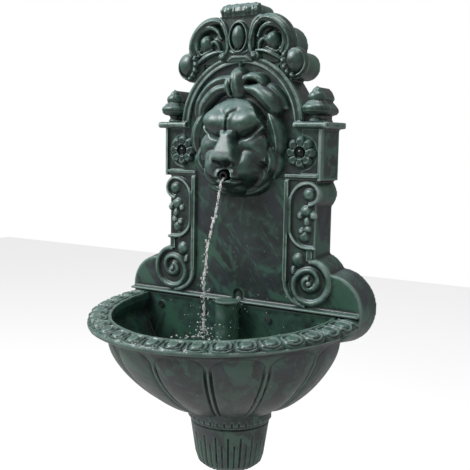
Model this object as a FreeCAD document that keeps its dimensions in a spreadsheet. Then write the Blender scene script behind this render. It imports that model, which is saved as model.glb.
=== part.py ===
import FreeCAD, Part
import math
import os
import Sketcher
from types import SimpleNamespace
from FreeCAD import Placement, Rotation, Vector

# Garden wall fountain: a lion mask on a moulded back panel spouts into a half-round basin, whose
# drum below the bowl holds the pump. The hose climbs inside the riser column, goes through a notch
# in the panel at the basin seam and up behind the panel to the spout.
#
# Frame: millimetres, +Z up, -Y towards the viewer, the wall at Y = 0. The origin is midway between
# the two keyholes that the fountain hangs on, behind the rosettes.

doc = FreeCAD.newDocument("GardenWallFountain")
sheet = doc.addObject("Spreadsheet::Sheet", "Sizes")

SIZES = {
    "Back panel": {
        "panel_depth": 46, "panel_wall": 4.5, "side_flare": 7, "trunk_half_width": 136.5,
        "trunk_drop": 298, "block_half_width": 145, "block_drop": 42, "ledge_half_width": 155,
        "ledge_base": 37, "ledge_height": 10, "ledge_inner": 100, "ledge_front": 60, "ledge_seat": 6,
        "shoulder_x": 164, "shoulder_drop": 238, "shoulder_radius": 53,
        "lip_half_width": 215, "lip_drop": 245, "lip_height": 4, "lip_front": 59,
        "notch_half_width": 9.5, "notch_centre_drop": 234, "notch_drop": 268,
        "web_centre": 110, "web_half_width": 25, "web_half_height": 17, "head_room": 10,
        "cradle_width": 8, "cradle_half_width": 11, "cradle_drop": 105, "cradle_gap": 70,
    },
    "Arch": {
        "arch_radius": 112, "arch_centre": 40, "arch_width": 13.5, "arch_relief": 5,
        "arch_ridge": 3.6, "arch_bead": 2.2, "ornament_fit": 0.3,
    },
    "Side scrolls": {
        "relief": 6, "ground": 1.2, "border_width": 4.5, "moulding_height": 9, "frame_inner": 84.5,
        "frame_width": 6.5, "frame_turn_radius": 39, "frame_turn_drop": 201, "frame_turn_x": 124.5,
        "curl_x": 125.5, "curl_drop": 63, "curl_radius": 16.5, "scroll_band": 2.7, "bow_radius": 31.5,
        "bow_drop": 78, "bow_low": 115, "volute_x": 129.7, "volute_drop": 200,
        "volute_radius": 33, "volute_second": 26, "volute_third": 15, "volute_fourth": 8.5,
        "volute_band": 4.5, "volute_eye": 6.2, "leaf_x": 124, "stem_half_width": 4.6,
    },
    "Rosettes": {
        "rosette_radius": 26, "petal_length": 9.5, "petal_half_width": 8, "petal_count": 8,
        "rosette_plate": 3, "rosette_front": 8, "rosette_ring": 9.5, "boss_radius": 7,
        "rosette_screw_tip": 22,
    },
    "Finials": {
        "finial_x": 131.7, "finial_axis": 43, "finial_neck": 8, "finial_disc": 21.5,
        "finial_disc_base": 12, "finial_disc_top": 31, "finial_cap": 12.7, "finial_height": 53,
        "finial_back_share": 0.85,
        "finial_pin": 3, "finial_pin_depth": 22,
    },
    "Crest": {
        "roll_half_length": 32.5, "roll_radius": 14, "roll_height": 217.5, "roll_band": 1.2,
        "cabochon_height": 178, "cabochon_half_width": 11.5, "cabochon_half_height": 18.5,
        "cabochon_proud": 19, "ring_half_width": 18, "ring_half_height": 24.5, "ring_proud": 13,
        "crest_inner_x": 44, "crest_inner_height": 188, "crest_inner_radius": 22,
        "strap_x": 62, "strap_height": 165, "strap_radius": 32, "strap_band": 5.5, "bud_radius": 13,
        "paw_x": 95, "paw_height": 133, "paw_radius": 21.5, "crest_relief": 10,
        "tail_bar_height": 147, "tail_bar_half": 27, "tail_tip": 133, "curl_ball_x": 29,
    },
    "Lion mask": {
        "mask_half_width": 90, "mask_top": 130.5, "mask_bottom": 70, "mane_relief": 20,
        "face_half_width": 54, "face_half_height": 66, "face_relief": 34, "muzzle_half_width": 30,
        "muzzle_front": 103, "mouth_drop": 38, "mouth_radius": 9, "mask_pocket": 13,
        "mask_pocket_depth": 10, "mask_screw_x": 42, "mask_screw_rise": 62, "mask_screw_drop": 12,
        "mask_screw_length": 16,
    },
    "Spout": {
        "spout_radius": 6, "spout_bore": 4, "spout_front": 97, "spout_collar_radius": 12,
        "spout_collar": 8, "spout_thread": 8, "spout_tail": 33, "locknut_radius": 13,
        "locknut_thickness": 6, "elbow_half_width": 9.5, "elbow_front": 35, "elbow_back": 13,
        "elbow_half_height": 10, "barb_drop": 80, "barb_overlap": 18,
    },
    "Hose": {
        "hose_radius": 7.5, "hose_bore": 5.5, "hose_depth": 24, "hose_turn_drop": 204,
        "hose_bend": 60, "hose_foot_drop": 450, "clamp_width": 9, "clamp_band": 1.2,
    },
    "Basin": {
        "rim_half_width": 216.5, "rim_reach": 240.5, "rim_depth": 70, "rim_inner_half_width": 176,
        "rim_inner_reach": 206, "rim_drop": 253, "rim_inner_drop": 247, "rim_edge": 8,
        "rim_tilt": 2, "neck_half_width": 187, "neck_drop": 283, "bowl_half_width": 165,
        "bowl_drop": 333, "haunch_half_width": 140, "haunch_drop": 366, "low_half_width": 105,
        "low_drop": 396, "foot_half_width": 76, "foot_drop": 407, "bowl_wall": 5,
        "basin_floor": 396, "floor_half_width": 92, "basin_back": 48,
        "bolt_x": 150, "inner_bolt_x": 62, "bolt_drop": 266, "bolt_radius": 3, "bolt_head": 5.5,
        "washer_radius": 8, "washer": 1.6, "wing_hub": 6, "wing_height": 6, "wing_half_span": 14,
    },
    "Drum": {
        "drum_depth": 62, "drum_radius": 71, "collar_drop": 429, "drum_waist": 66,
        "waist_drop": 440, "drum_low": 58, "low_turn_drop": 492, "drum_round": 53.5,
        "round_drop": 506, "drum_heel": 44, "heel_drop": 514, "drum_foot": 30, "drum_drop": 519,
        "drum_wall": 4.5,
        "sump_floor": 507, "sump_opening": 50, "flange_inner": 56, "flange": 9, "gasket": 2,
        "drum_screw_circle": 61.5, "drum_screw_length": 19,
    },
    "Riser": {
        "riser_depth": 78, "riser_radius": 19, "riser_wall": 2.5, "riser_top": 238,
        "riser_slot": 10.5, "riser_slot_top": 246, "riser_slot_drop": 342,
        "cover_radius": 56, "cover_plate": 3,
        "piece_fit": 0.5, "cover_slot": 3, "cover_slot_length": 16,
    },
    "Pump": {
        "pump_depth": 83, "pump_drop": 478, "pump_half_depth": 17, "pump_half_height": 18,
        "motor_end": 30, "motor_start": 7, "pump_face": 7, "strainer_face": 19, "pump_wall": 2.2,
        "chamber_radius": 13, "magnet_radius": 7.5, "rotor_gap": 0.6, "impeller_radius": 11,
        "shaft_radius": 1.2, "bush_radius": 3.4, "bush_length": 3, "shaft_fit": 0.1,
        "inlet_radius": 5.5, "dial_radius": 8, "dial_thickness": 2.4,
        "suction_radius": 5, "seal_band": 0.9, "seal_circle": 14.8,
        "gland_radius": 4, "gland_length": 9, "dial_pin": 2, "dial_fit": 0.1,
    },
    "Fixings": {
        "small_screw": 2, "small_head": 3.8, "head_height": 2.4, "screw_fit": 0.15,
        "plate_half_width": 24, "plate_half_height": 15, "hanger_plate": 2, "keyhole_slot": 2.75,
        "keyhole_entry": 5.5, "keyhole_rise": 9, "hanger_screw_x": 18, "hanger_screw_length": 12,
        "grommet_x": 90, "grommet_depth": 20, "grommet_radius": 5, "grommet_flange": 1.5,
        "grommet_bore": 3.5,
    },
}

row = 1
for group, values in SIZES.items():
    sheet.set(f"A{row}", group)
    row += 1
    for alias, value in values.items():
        sheet.set(f"A{row}", alias)
        sheet.set(f"B{row}", str(value))
        sheet.setAlias(f"B{row}", alias)
        row += 1
doc.recompute()


class Size:
    """A length together with the sheet expression that gives it."""

    def __init__(self, text, value):
        self.text = text
        self.value = value

    def joined(self, other, sign, value):
        other = as_size(other)
        return Size(f"({self.text} {sign} {other.text})", value(self.value, other.value))

    def __add__(self, other):
        return self.joined(other, "+", lambda a, b: a + b)

    def __sub__(self, other):
        return self.joined(other, "-", lambda a, b: a - b)

    def __rsub__(self, other):
        return as_size(other) - self

    def __mul__(self, other):
        return self.joined(other, "*", lambda a, b: a * b)

    def __truediv__(self, other):
        return self.joined(other, "/", lambda a, b: a / b)

    def __neg__(self):
        return Size(f"(0 - {self.text})", -self.value)

    def __float__(self):
        return float(self.value)

    __radd__ = __add__
    __rmul__ = __mul__


def as_size(number):
    return number if isinstance(number, Size) else Size(repr(float(number)), float(number))


s = SimpleNamespace(**{alias: Size(f"Sizes.{alias}", float(sheet.get(alias)))
                       for values in SIZES.values() for alias in values})


# Small helpers: each makes one object of the document with its sizes bound to the sheet

def bind(obj, **sizes):
    for name, size in sizes.items():
        obj.setExpression(name, as_size(size).text)


def put(obj, x=0, y=0, z=0, rotation=None):
    obj.Placement = Placement(Vector(float(x), float(y), float(z)), rotation or Rotation())
    for letter, size in zip("xyz", (x, y, z)):
        obj.setExpression(f"Placement.Base.{letter}", as_size(size).text)
    return obj


def block(label, x, y, z):
    """A box from its low and high faces along each axis."""
    box = doc.addObject("Part::Box", label)
    bind(box, Length=x[1] - x[0], Width=y[1] - y[0], Height=z[1] - z[0])
    return put(box, x[0], y[0], z[0])


def slab(label, x, y, z, flare):
    """A box whose sides spread by the flare from its front face to the wall."""
    wedge = doc.addObject("Part::Wedge", label)
    bind(wedge, Xmin=x[0], Xmax=x[1], X2min=x[0] - flare, X2max=x[1] + flare)
    bind(wedge, Ymin=y[0], Ymax=y[1], Zmin=z[0], Zmax=z[1], Z2min=z[0], Z2max=z[1])
    return wedge


TURNS = {"z": Rotation(), "x": Rotation(Vector(0, 1, 0), 90), "y": Rotation(Vector(1, 0, 0), -90)}
FACING = Rotation(Vector(1, 0, 0), 90)


def rod(label, radius, start, length, axis="z"):
    """A round bar from its start along an axis."""
    bar = doc.addObject("Part::Cylinder", label)
    bind(bar, Radius=radius, Height=length)
    return put(bar, *start, TURNS[axis])


def taper(label, radius, end_radius, start, length, axis="z"):
    cone = doc.addObject("Part::Cone", label)
    bind(cone, Radius1=radius, Radius2=end_radius, Height=length)
    return put(cone, *start, TURNS[axis])


def egg(label, half_sizes, centre, tilt=0):
    """A ball with its own half size along X, Y and Z, tilted in the plane of the wall."""
    ball = doc.addObject("Part::Ellipsoid", label)
    bind(ball, Radius2=half_sizes[0], Radius3=half_sizes[1], Radius1=half_sizes[2])
    ball.Angle1 = -90
    return put(ball, *centre, Rotation(Vector(0, 1, 0), tilt))


def bead(label, radius, band, centre, start=0, sweep=360):
    """A round bead bent to an arc in the plane of the wall, its angles as seen from the front."""
    torus = doc.addObject("Part::Torus", label)
    bind(torus, Radius1=radius, Radius2=band, Angle3=sweep)
    return put(torus, *centre, FACING * Rotation(Vector(0, 0, 1), start))


def hoop(label, radius, band, centre, axis="z"):
    torus = doc.addObject("Part::Torus", label)
    bind(torus, Radius1=radius, Radius2=band)
    return put(torus, *centre, TURNS[axis])


def fuse(label, parts):
    """Joins the parts two by two, then the pairs, until one is left."""
    parts = list(parts)
    count = 0
    while len(parts) > 1:
        joined = []
        for first, second in zip(parts[::2], parts[1::2]):
            count += 1
            pair = doc.addObject("Part::Fuse", f"{label}_{count}")
            pair.Base = first
            pair.Tool = second
            pair.Refine = False
            joined.append(pair)
        parts = joined + parts[len(joined) * 2:]
    return parts[0]


def cut(label, base, tools):
    result = doc.addObject("Part::Cut", label)
    result.Base = base
    result.Tool = fuse(label + "_cutters", tools)
    result.Refine = False
    return result


def common(label, base, other):
    result = doc.addObject("Part::Common", label)
    result.Base = base
    result.Tool = other
    return result


def mirror(label, source):
    copy = doc.addObject("Part::Mirroring", label)
    copy.Source = source
    copy.Base = Vector(0, 0, 0)
    copy.Normal = Vector(1, 0, 0)
    return copy


def group(label, parts):
    """Like pieces that share one node, each still a solid of its own."""
    bundle = doc.addObject("Part::Compound", label)
    bundle.Links = parts
    return bundle


def shaped(label, shape):
    feature = doc.addObject("Part::Feature", label)
    feature.Shape = shape
    return feature


NODES = []


def node(label, obj):
    """Marks a finished piece of the fountain; its label is the name of its file."""
    obj.Label = label
    NODES.append(obj)
    return obj


class Bench:
    """A PartDesign body that is sketched flat and then stood at its place."""

    def __init__(self, name, at, rotation=None):
        self.name = name
        self.body = doc.addObject("PartDesign::Body", name)
        put(self.body, *at, rotation)

    def sketch(self, height=0, role="XY_Plane"):
        plane = next(f for f in self.body.Origin.OriginFeatures if f.Role == role)
        self.drawing = self.body.newObject("Sketcher::SketchObject", self.name + "_sketch")
        self.drawing.AttachmentSupport = (plane, [""])
        self.drawing.MapMode = "FlatFace"
        self.drawing.setExpression("AttachmentOffset.Base.z", as_size(height).text)
        return self

    def fix(self, geometry, point, x, y):
        """Ties a point of the drawing to the origin by its two distances."""
        for kind, size, axis in (("DistanceX", as_size(x), -2), ("DistanceY", as_size(y), -1)):
            if abs(size.value) < 1e-9:
                self.drawing.addConstraint(Sketcher.Constraint("PointOnObject", geometry, point, axis))
                continue
            place = (-1, 1, geometry, point) if size.value > 0 else (geometry, point, -1, 1)
            index = self.drawing.addConstraint(Sketcher.Constraint(kind, *place, abs(size.value)))
            text = size.text if size.value > 0 else (-size).text
            self.drawing.setExpression(f"Constraints[{index}]", text)

    def polygon(self, corners):
        first = self.drawing.GeometryCount
        points = [Vector(float(x), float(y), 0) for x, y in corners]
        count = len(points)
        for i in range(count):
            self.drawing.addGeometry(Part.LineSegment(points[i], points[(i + 1) % count]), False)
        for i in range(count):
            joint = (first + i, 2, first + (i + 1) % count, 1)
            self.drawing.addConstraint(Sketcher.Constraint("Coincident", *joint))
        for i, (x, y) in enumerate(corners):
            self.fix(first + i, 1, x, y)
        return self

    def circle(self, radius, x=0, y=0):
        centre = Vector(float(x), float(y), 0)
        index = self.drawing.addGeometry(Part.Circle(centre, Vector(0, 0, 1), float(radius)), False)
        self.fix(index, 3, x, y)
        size = self.drawing.addConstraint(Sketcher.Constraint("Radius", index, float(radius)))
        self.drawing.setExpression(f"Constraints[{size}]", as_size(radius).text)
        return self

    def feature(self, kind, name, **sizes):
        made = self.body.newObject(kind, f"{self.name}_{name}")
        made.Profile = self.drawing
        self.drawing.Visibility = False
        bind(made, **sizes)
        self.last = made
        return self

    def pad(self, length):
        return self.feature("PartDesign::Pad", "pad", Length=length)

    def pocket(self, depth):
        return self.feature("PartDesign::Pocket", "pocket", Length=depth)

    def through(self):
        self.feature("PartDesign::Pocket", "through")
        self.last.Type = "ThroughAll"
        self.last.Midplane = True
        return self

    def turn(self, angle=360):
        self.feature("PartDesign::Revolution", "turning", Angle=angle)
        self.last.ReferenceAxis = (self.drawing, ["V_Axis"])
        return self

    def finish(self, label):
        return node(label, self.body)


# Back panel: a hollow moulded shell, open towards the wall, that everything else is fixed to

def tapered_disc(label, radius, x, z, front, flare):
    """A disc against the wall that spreads by the flare from its front face to the wall."""
    cone = doc.addObject("Part::Cone", label)
    bind(cone, Radius1=radius + flare, Radius2=radius, Height=front)
    return put(cone, x, 0, z, FACING)


def plain_disc(label, radius, x, z, back, front):
    """A disc parallel to the wall between two depths."""
    disc = doc.addObject("Part::Cylinder", label)
    bind(disc, Radius=radius, Height=front - back)
    return put(disc, x, -back, z, FACING)


def panel_forms(name, inset, front):
    """The forms whose union is the panel's silhouette, drawn in by the inset."""
    def wide(label, half_width, low, high):
        return slab(name + label, (-half_width + inset, half_width - inset), (-front, 0),
                    (low + inset, high - inset), s.side_flare)

    def round_pair(label, radius, x, z, flare):
        return [tapered_disc(f"{name}{label}_{side}", radius - inset, x * sign, z, front, flare)
                for side, sign in (("right", 1), ("left", -1))]

    corner = s.roll_half_length - s.roll_radius
    forms = [
        wide("trunk", s.trunk_half_width, -s.trunk_drop, s.arch_centre),
        wide("block", s.block_half_width, -s.block_drop, s.ledge_base),
        plain_disc(name + "arch", s.arch_radius - inset, 0, s.arch_centre, 0, front),
        block(name + "roll", (-s.roll_half_length + inset, s.roll_half_length - inset),
              (-front, 0), (s.arch_radius, s.roll_height)),
        block(name + "roll_top", (-corner, corner), (-front, 0),
              (s.arch_radius, s.roll_height + s.roll_radius - inset)),
    ]
    forms += round_pair("roll_end", s.roll_radius, corner, s.roll_height, 0)
    forms += round_pair("crest_inner", s.crest_inner_radius, s.crest_inner_x, s.crest_inner_height, 0)
    forms += round_pair("strap", s.strap_radius, s.strap_x, s.strap_height, 0)
    forms += round_pair("paw", s.paw_radius, s.paw_x, s.paw_height, 0)
    forms += round_pair("curl", s.curl_radius + s.scroll_band, s.curl_x, -s.curl_drop, s.side_flare)
    forms += round_pair("volute", s.volute_radius + s.volute_band, s.volute_x, -s.volute_drop,
                        s.side_flare)
    forms += round_pair("shoulder", s.shoulder_radius, s.shoulder_x, -s.shoulder_drop, s.side_flare)
    return forms


def sides(x):
    return [("right", x), ("left", x * -1)]


inside = s.panel_depth - s.panel_wall
notch_forms = [
    block("notch_slot", (-s.notch_half_width, s.notch_half_width), (-s.lip_front - 1, -inside + 1),
          (-s.notch_drop, -s.notch_centre_drop)),
    plain_disc("notch_arch", s.notch_half_width, 0, -s.notch_centre_drop, inside - 1, s.lip_front + 1),
]


def make_back_panel():
    shell = cut("panel_shell", fuse("panel_solid", panel_forms("outer_", as_size(0), s.panel_depth)),
                panel_forms("hollow_", s.panel_wall, inside))
    ledge = slab("panel_ledge", (-s.ledge_half_width, s.ledge_half_width), (-s.panel_depth, 0),
                 (s.ledge_base, s.ledge_base + s.ledge_height), s.side_flare)
    ledge = cut("panel_ledges", ledge, [plain_disc("ledge_middle", s.arch_radius - s.panel_wall, 0,
                                                   s.arch_centre, 0, inside)])
    lip = block("panel_lip", (-s.lip_half_width, s.lip_half_width), (-s.lip_front, -inside),
                (-s.lip_drop, s.lip_height - s.lip_drop))
    adds = [shell, ledge, lip]
    holes = [plain_disc("spout_hole", s.spout_thread, 0, -s.mouth_drop, inside - 1, s.panel_depth + 1)]
    for side, x in sides(s.web_centre):
        adds.append(block(f"web_{side}", (x - s.web_half_width, x + s.web_half_width),
                          (-inside - 1, -s.hanger_plate), (-s.web_half_height, s.web_half_height)))
        holes += [
            block(f"head_room_{side}", (x - s.keyhole_entry - 1, x + s.keyhole_entry + 1),
                  (-s.hanger_plate - s.head_room, 0),
                  (-s.keyhole_entry - 1, s.keyhole_rise + s.keyhole_entry + 1)),
            plain_disc(f"rosette_hole_{side}", s.small_screw, x, 0, s.rosette_screw_tip, s.panel_depth + 1),
        ]
        for place, turn in (("outer", 1), ("inner", -1)):
            holes.append(plain_disc(f"hanger_hole_{side}_{place}", s.small_screw,
                                    x + s.hanger_screw_x * turn, 0, 0, s.hanger_screw_length))
    for side, x in sides(s.mask_screw_x):
        for level, z in (("high", s.mask_screw_rise), ("low", -s.mask_screw_drop)):
            holes.append(plain_disc(f"mask_hole_{side}_{level}", s.small_screw + s.screw_fit,
                                    x, z, inside - 1, s.panel_depth + 1))
    for place, distance in (("outer", s.bolt_x), ("inner", s.inner_bolt_x)):
        for side, x in sides(distance):
            holes.append(plain_disc(f"bolt_hole_{side}_{place}", s.bolt_radius + s.screw_fit,
                                    x, -s.bolt_drop, inside - 1, s.panel_depth + 1))
    for side, x in sides(s.finial_x):
        pin_foot = (x, -s.finial_pin_depth, finial_seat - s.ledge_seat)
        holes.append(rod(f"pin_hole_{side}", s.finial_pin, pin_foot, s.ledge_seat + 1))
    for index in range(2):
        low = -s.cradle_drop - s.cradle_gap * index
        web = block(f"cradle_{index}", (-s.cradle_half_width, s.cradle_half_width),
                    (-inside - 1, -s.hose_depth), (low - s.cradle_width, low))
        adds.append(web)
    holes.append(rod("cradle_groove", s.hose_radius + s.ornament_fit,
                     (0, -s.hose_depth, -s.hose_turn_drop), s.hose_turn_drop - s.barb_drop))
    holes.append(rod("grommet_hole", s.grommet_radius, (s.grommet_x, -s.grommet_depth, -s.trunk_drop - 1),
                     s.panel_wall + 2))
    return node("back_panel", cut("panel", fuse("panel_built", adds), holes + notch_forms))


finial_seat = s.ledge_base + s.ledge_height


# Ornament: castings bonded on the panel's front, each cut flat where it lies on the panel

def flat_back(label, casting, others=()):
    """Cuts away what reaches behind the panel's front face, and whatever else is in the way."""
    behind = block(label + "_behind", (-s.rim_half_width, s.rim_half_width), (-s.panel_depth, s.panel_depth),
                   (-s.drum_drop, s.roll_height + s.roll_radius * 2))
    return cut(label, casting, [behind] + list(others))


def raised_box(label, x, z, proud):
    return block(label, x, (-s.panel_depth - proud, -s.panel_depth), z)


def raised_disc(label, radius, x, z, proud):
    return plain_disc(label, radius, x, z, s.panel_depth - 1, s.panel_depth + proud)


def rope(label, radius, band, x, z, start, sweep, proud):
    """A half-round band along an arc, whose crest stands proud of the panel."""
    return bead(label, radius, band, (x, -s.panel_depth - proud + band, z), start, sweep)


def straight(label, band, x, z, proud, length, axis):
    return rod(label, band, (x, -s.panel_depth - proud + band, z), length, axis)


def lump(label, half_width, half_height, x, z, proud, tilt=0):
    """A rounded boss centred on the panel's face."""
    return egg(label, (half_width, proud, half_height), (x, -s.panel_depth, z), tilt)


def around_rosettes(label):
    return [plain_disc(f"{label}_rosette_{side}", s.rosette_radius + s.ornament_fit, x, 0,
                       s.panel_depth - 1, s.panel_depth * 2) for side, x in sides(s.web_centre)]


def make_arch_moulding():
    outer, inner = s.arch_radius, s.arch_radius - s.arch_width
    band = cut("arch_band", raised_disc("arch_outer", outer, 0, s.arch_centre, s.arch_relief),
               [raised_disc("arch_inner", inner, 0, s.arch_centre, s.arch_relief + 1),
                raised_box("arch_lower", (-outer - 1, outer + 1), (s.arch_centre - outer - 1, s.ledge_base),
                           s.arch_relief + 1)])
    ridge_height = s.arch_relief + s.arch_ridge / 3
    parts = [band,
             rope("arch_ridge", outer - s.arch_ridge, s.arch_ridge, 0, s.arch_centre, 0, 180, ridge_height),
             rope("arch_bead", inner + s.arch_bead, s.arch_bead, 0, s.arch_centre, 0, 180, ridge_height)]
    nose = s.ledge_height / 2
    for side, low, high in (("right", s.ledge_inner, s.ledge_half_width),
                            ("left", -s.ledge_half_width, -s.ledge_inner)):
        parts.append(block(f"ledge_{side}", (low, high), (-s.ledge_front + nose, -s.panel_depth),
                           (s.ledge_base, finial_seat)))
        parts.append(rod(f"ledge_nose_{side}", nose, (low, -s.ledge_front + nose, s.ledge_base + nose),
                         high - low, "x"))
    node("arch_moulding", flat_back("arch_casting", fuse("arch_parts", parts)))


def make_side_scrolls():
    edge, top = s.block_half_width, s.ledge_base
    frame_right = s.frame_inner + s.frame_width
    band, big = s.scroll_band, s.volute_band
    proud = s.relief
    ground = s.ground
    disc = s.volute_radius + s.volute_band
    spread = s.frame_turn_radius
    mid_frame = frame_right - s.frame_width / 2
    parts = [
        raised_box("ground_block", (s.web_centre, edge), (-s.block_drop, top), ground),
        raised_box("ground_trunk", (s.frame_inner, s.trunk_half_width),
                   (-s.volute_drop, -s.block_drop), ground),
        raised_disc("ground_curl", s.curl_radius + band, s.curl_x, -s.curl_drop, ground),
        raised_disc("ground_volute", disc, s.volute_x, -s.volute_drop, ground),
        raised_box("border", (edge - s.border_width, edge), (-s.block_drop, top), proud),
        raised_box("moulding_high", (s.frame_inner, edge), (s.moulding_height / 2 - s.block_drop,
                   s.moulding_height - s.block_drop), proud),
        raised_box("moulding_low", (s.frame_inner, edge),
                   (-s.block_drop, s.moulding_height / 2 - s.block_drop), proud / 2),
        raised_box("frame", (s.frame_inner, frame_right), (-s.frame_turn_drop, -s.block_drop), proud),
        rope("frame_turn", s.frame_turn_x - mid_frame, s.frame_width / 2, s.frame_turn_x, -s.frame_turn_drop,
             180, 90, proud),
        rope("curl_low", s.curl_radius, band, s.curl_x, -s.curl_drop, 270, 180, proud),
        rope("bow_high", s.bow_radius, band, s.curl_x, -s.bow_drop, 90, 90, proud),
        straight("bow_side", band, s.curl_x - s.bow_radius, -s.bow_low, proud, s.bow_low - s.bow_drop, "z"),
        rope("bow_foot", s.bow_radius, band, s.curl_x, -s.bow_low, 180, 90, proud),
        straight("bow_toe", band, s.curl_x, -s.bow_low - s.bow_radius, proud, s.curl_radius - band, "x"),
        raised_box("stem", (s.volute_x - s.stem_half_width, s.volute_x + s.stem_half_width),
                   (s.volute_radius - s.volute_drop, -s.bow_low - s.bow_radius), proud - 1),
    ]
    turn_top = s.volute_radius - s.volute_drop
    turns = [(s.volute_radius, 270), (s.volute_second, 90), (s.volute_third, 270), (s.volute_fourth, 90)]
    end = turn_top
    for index, (radius, start) in enumerate(turns):
        centre = end - radius if start == 270 else end + radius
        parts.append(rope(f"volute_{index}", radius, big, s.volute_x, centre, start, 180, proud))
        end = centre - radius if start == 270 else centre + radius
    parts.append(lump("volute_eye", s.volute_eye, s.volute_eye, s.volute_x, end - s.volute_fourth,
                      proud + 1))
    drop = s.curl_drop
    leaves = [("leaf_ball", 9.5, 9.5, 2, 1), ("leaf_crown", 10, 9, -2, 27), ("leaf_left", 5, 6, -12, 34),
              ("leaf_right", 6, 6.5, 10, 33), ("leaf_waist", 5.5, 8, 0, 43), ("leaf_low", 6.5, 6.5, 2, 54),
              ("leaf_side", 5, 5, -9, 58), ("leaf_foot", 8.5, 9, -4, 66)]
    for label, half_width, half_height, offset, fall in leaves:
        parts.append(lump(label, half_width, half_height, s.leaf_x + offset, -drop - fall, proud))
    parts.append(lump("bud", 10, 11, s.leaf_x - 14, -drop - 104, proud))
    parts.append(lump("leaflet", 4, 7, s.leaf_x - 22, -drop - 121, proud - 1))
    right = flat_back("scroll_casting", fuse("scroll_parts", parts), around_rosettes("scroll"))
    node("side_scroll_right", right)
    node("side_scroll_left", mirror("scroll_mirrored", right))


def make_rosettes():
    front = s.panel_depth + s.rosette_front
    for side, x in sides(s.web_centre):
        parts = [plain_disc(f"rosette_plate_{side}", s.rosette_radius - 4, x, 0, s.panel_depth,
                            s.panel_depth + s.rosette_plate)]
        reach = s.rosette_radius - s.petal_length
        for index in range(int(s.petal_count.value)):
            angle = math.tau * index / s.petal_count.value
            petal = egg(f"petal_{side}_{index}", (s.petal_length, s.rosette_front, s.petal_half_width),
                        (x + reach * math.cos(angle), -s.panel_depth, reach * math.sin(angle)),
                        -math.degrees(angle))
            parts.append(petal)
        recess = plain_disc(f"rosette_recess_{side}", s.rosette_ring, x, 0, s.panel_depth + s.rosette_plate,
                            front + 1)
        bore = plain_disc(f"rosette_bore_{side}", s.small_screw + s.screw_fit, x, 0, s.panel_depth - 1,
                          front)
        node(f"rosette_{side}", flat_back(f"rosette_casting_{side}", fuse(f"rosette_parts_{side}", parts),
                                          [recess, bore]))
    seat = s.panel_depth + s.rosette_plate
    screws = []
    for side, x in sides(s.web_centre):
        shank = plain_disc(f"rosette_shank_{side}", s.small_screw, x, 0, s.rosette_screw_tip, seat + 1)
        head = egg(f"rosette_boss_{side}", (s.boss_radius, s.rosette_front - s.rosette_plate + 1,
                   s.boss_radius), (x, -seat, 0))
        back = plain_disc(f"rosette_boss_back_{side}", s.boss_radius + 1, x, 0, 0, seat)
        screws.append(fuse(f"rosette_screw_{side}", [cut(f"rosette_head_{side}", head, [back]), shank]))
    node("rosette_screws", group("rosette_screw_pair", screws))


def make_finials():
    neck, disc, cap = s.finial_neck, s.finial_disc, s.finial_cap
    low, high, top = s.finial_disc_base, s.finial_disc_top, s.finial_height
    profile = [(neck + 2, 0), (neck + 2, 3), (neck, 5), (neck, low - 2), (disc - 4, low), (disc, low + 4),
               (disc - 1, low + 9), (disc - 7, high - 4), (cap - 3, high), (cap - 3, high + 2),
               (cap, high + 4), (cap - 1.5, high + 9), (cap - 5, high + 15), (cap - 9, top - 3)]
    for side, x in sides(s.finial_x):
        bench = Bench(f"finial_body_{side}", (x, -s.finial_axis, finial_seat))
        bench.sketch(0, "XZ_Plane").polygon([(0, 0)] + profile + [(0, top)]).turn()
        back = [(a * s.finial_back_share, b) for a, b in profile]
        outline = back + [(0, top)] + [(-a, b) for a, b in reversed(back)]
        bench.sketch(0, "XZ_Plane").polygon(outline).pad(s.finial_axis)
        bench.last.Reversed = True
        pin_foot = (x, -s.finial_pin_depth, finial_seat - s.ledge_seat)
        pin = rod(f"finial_pin_{side}", s.finial_pin, pin_foot, s.ledge_seat + 1)
        arch = plain_disc(f"finial_arch_{side}", s.arch_radius + s.ornament_fit, 0, s.arch_centre, -1,
                          s.panel_depth * 2)
        node(f"finial_{side}", cut(f"finial_fitted_{side}", fuse(f"finial_parts_{side}", [bench.body, pin]),
                                   [arch]))


def arch_clearance(label):
    """The space of the arch moulding, kept free in what crosses it."""
    outer = raised_disc(label + "_out", s.arch_radius + s.ornament_fit, 0, s.arch_centre,
                        s.arch_relief + s.arch_ridge / 3 + s.ornament_fit)
    inner = raised_disc(label + "_in", s.arch_radius - s.arch_width - s.ornament_fit, 0, s.arch_centre,
                        s.panel_depth)
    return cut(label, outer, [inner])


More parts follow.
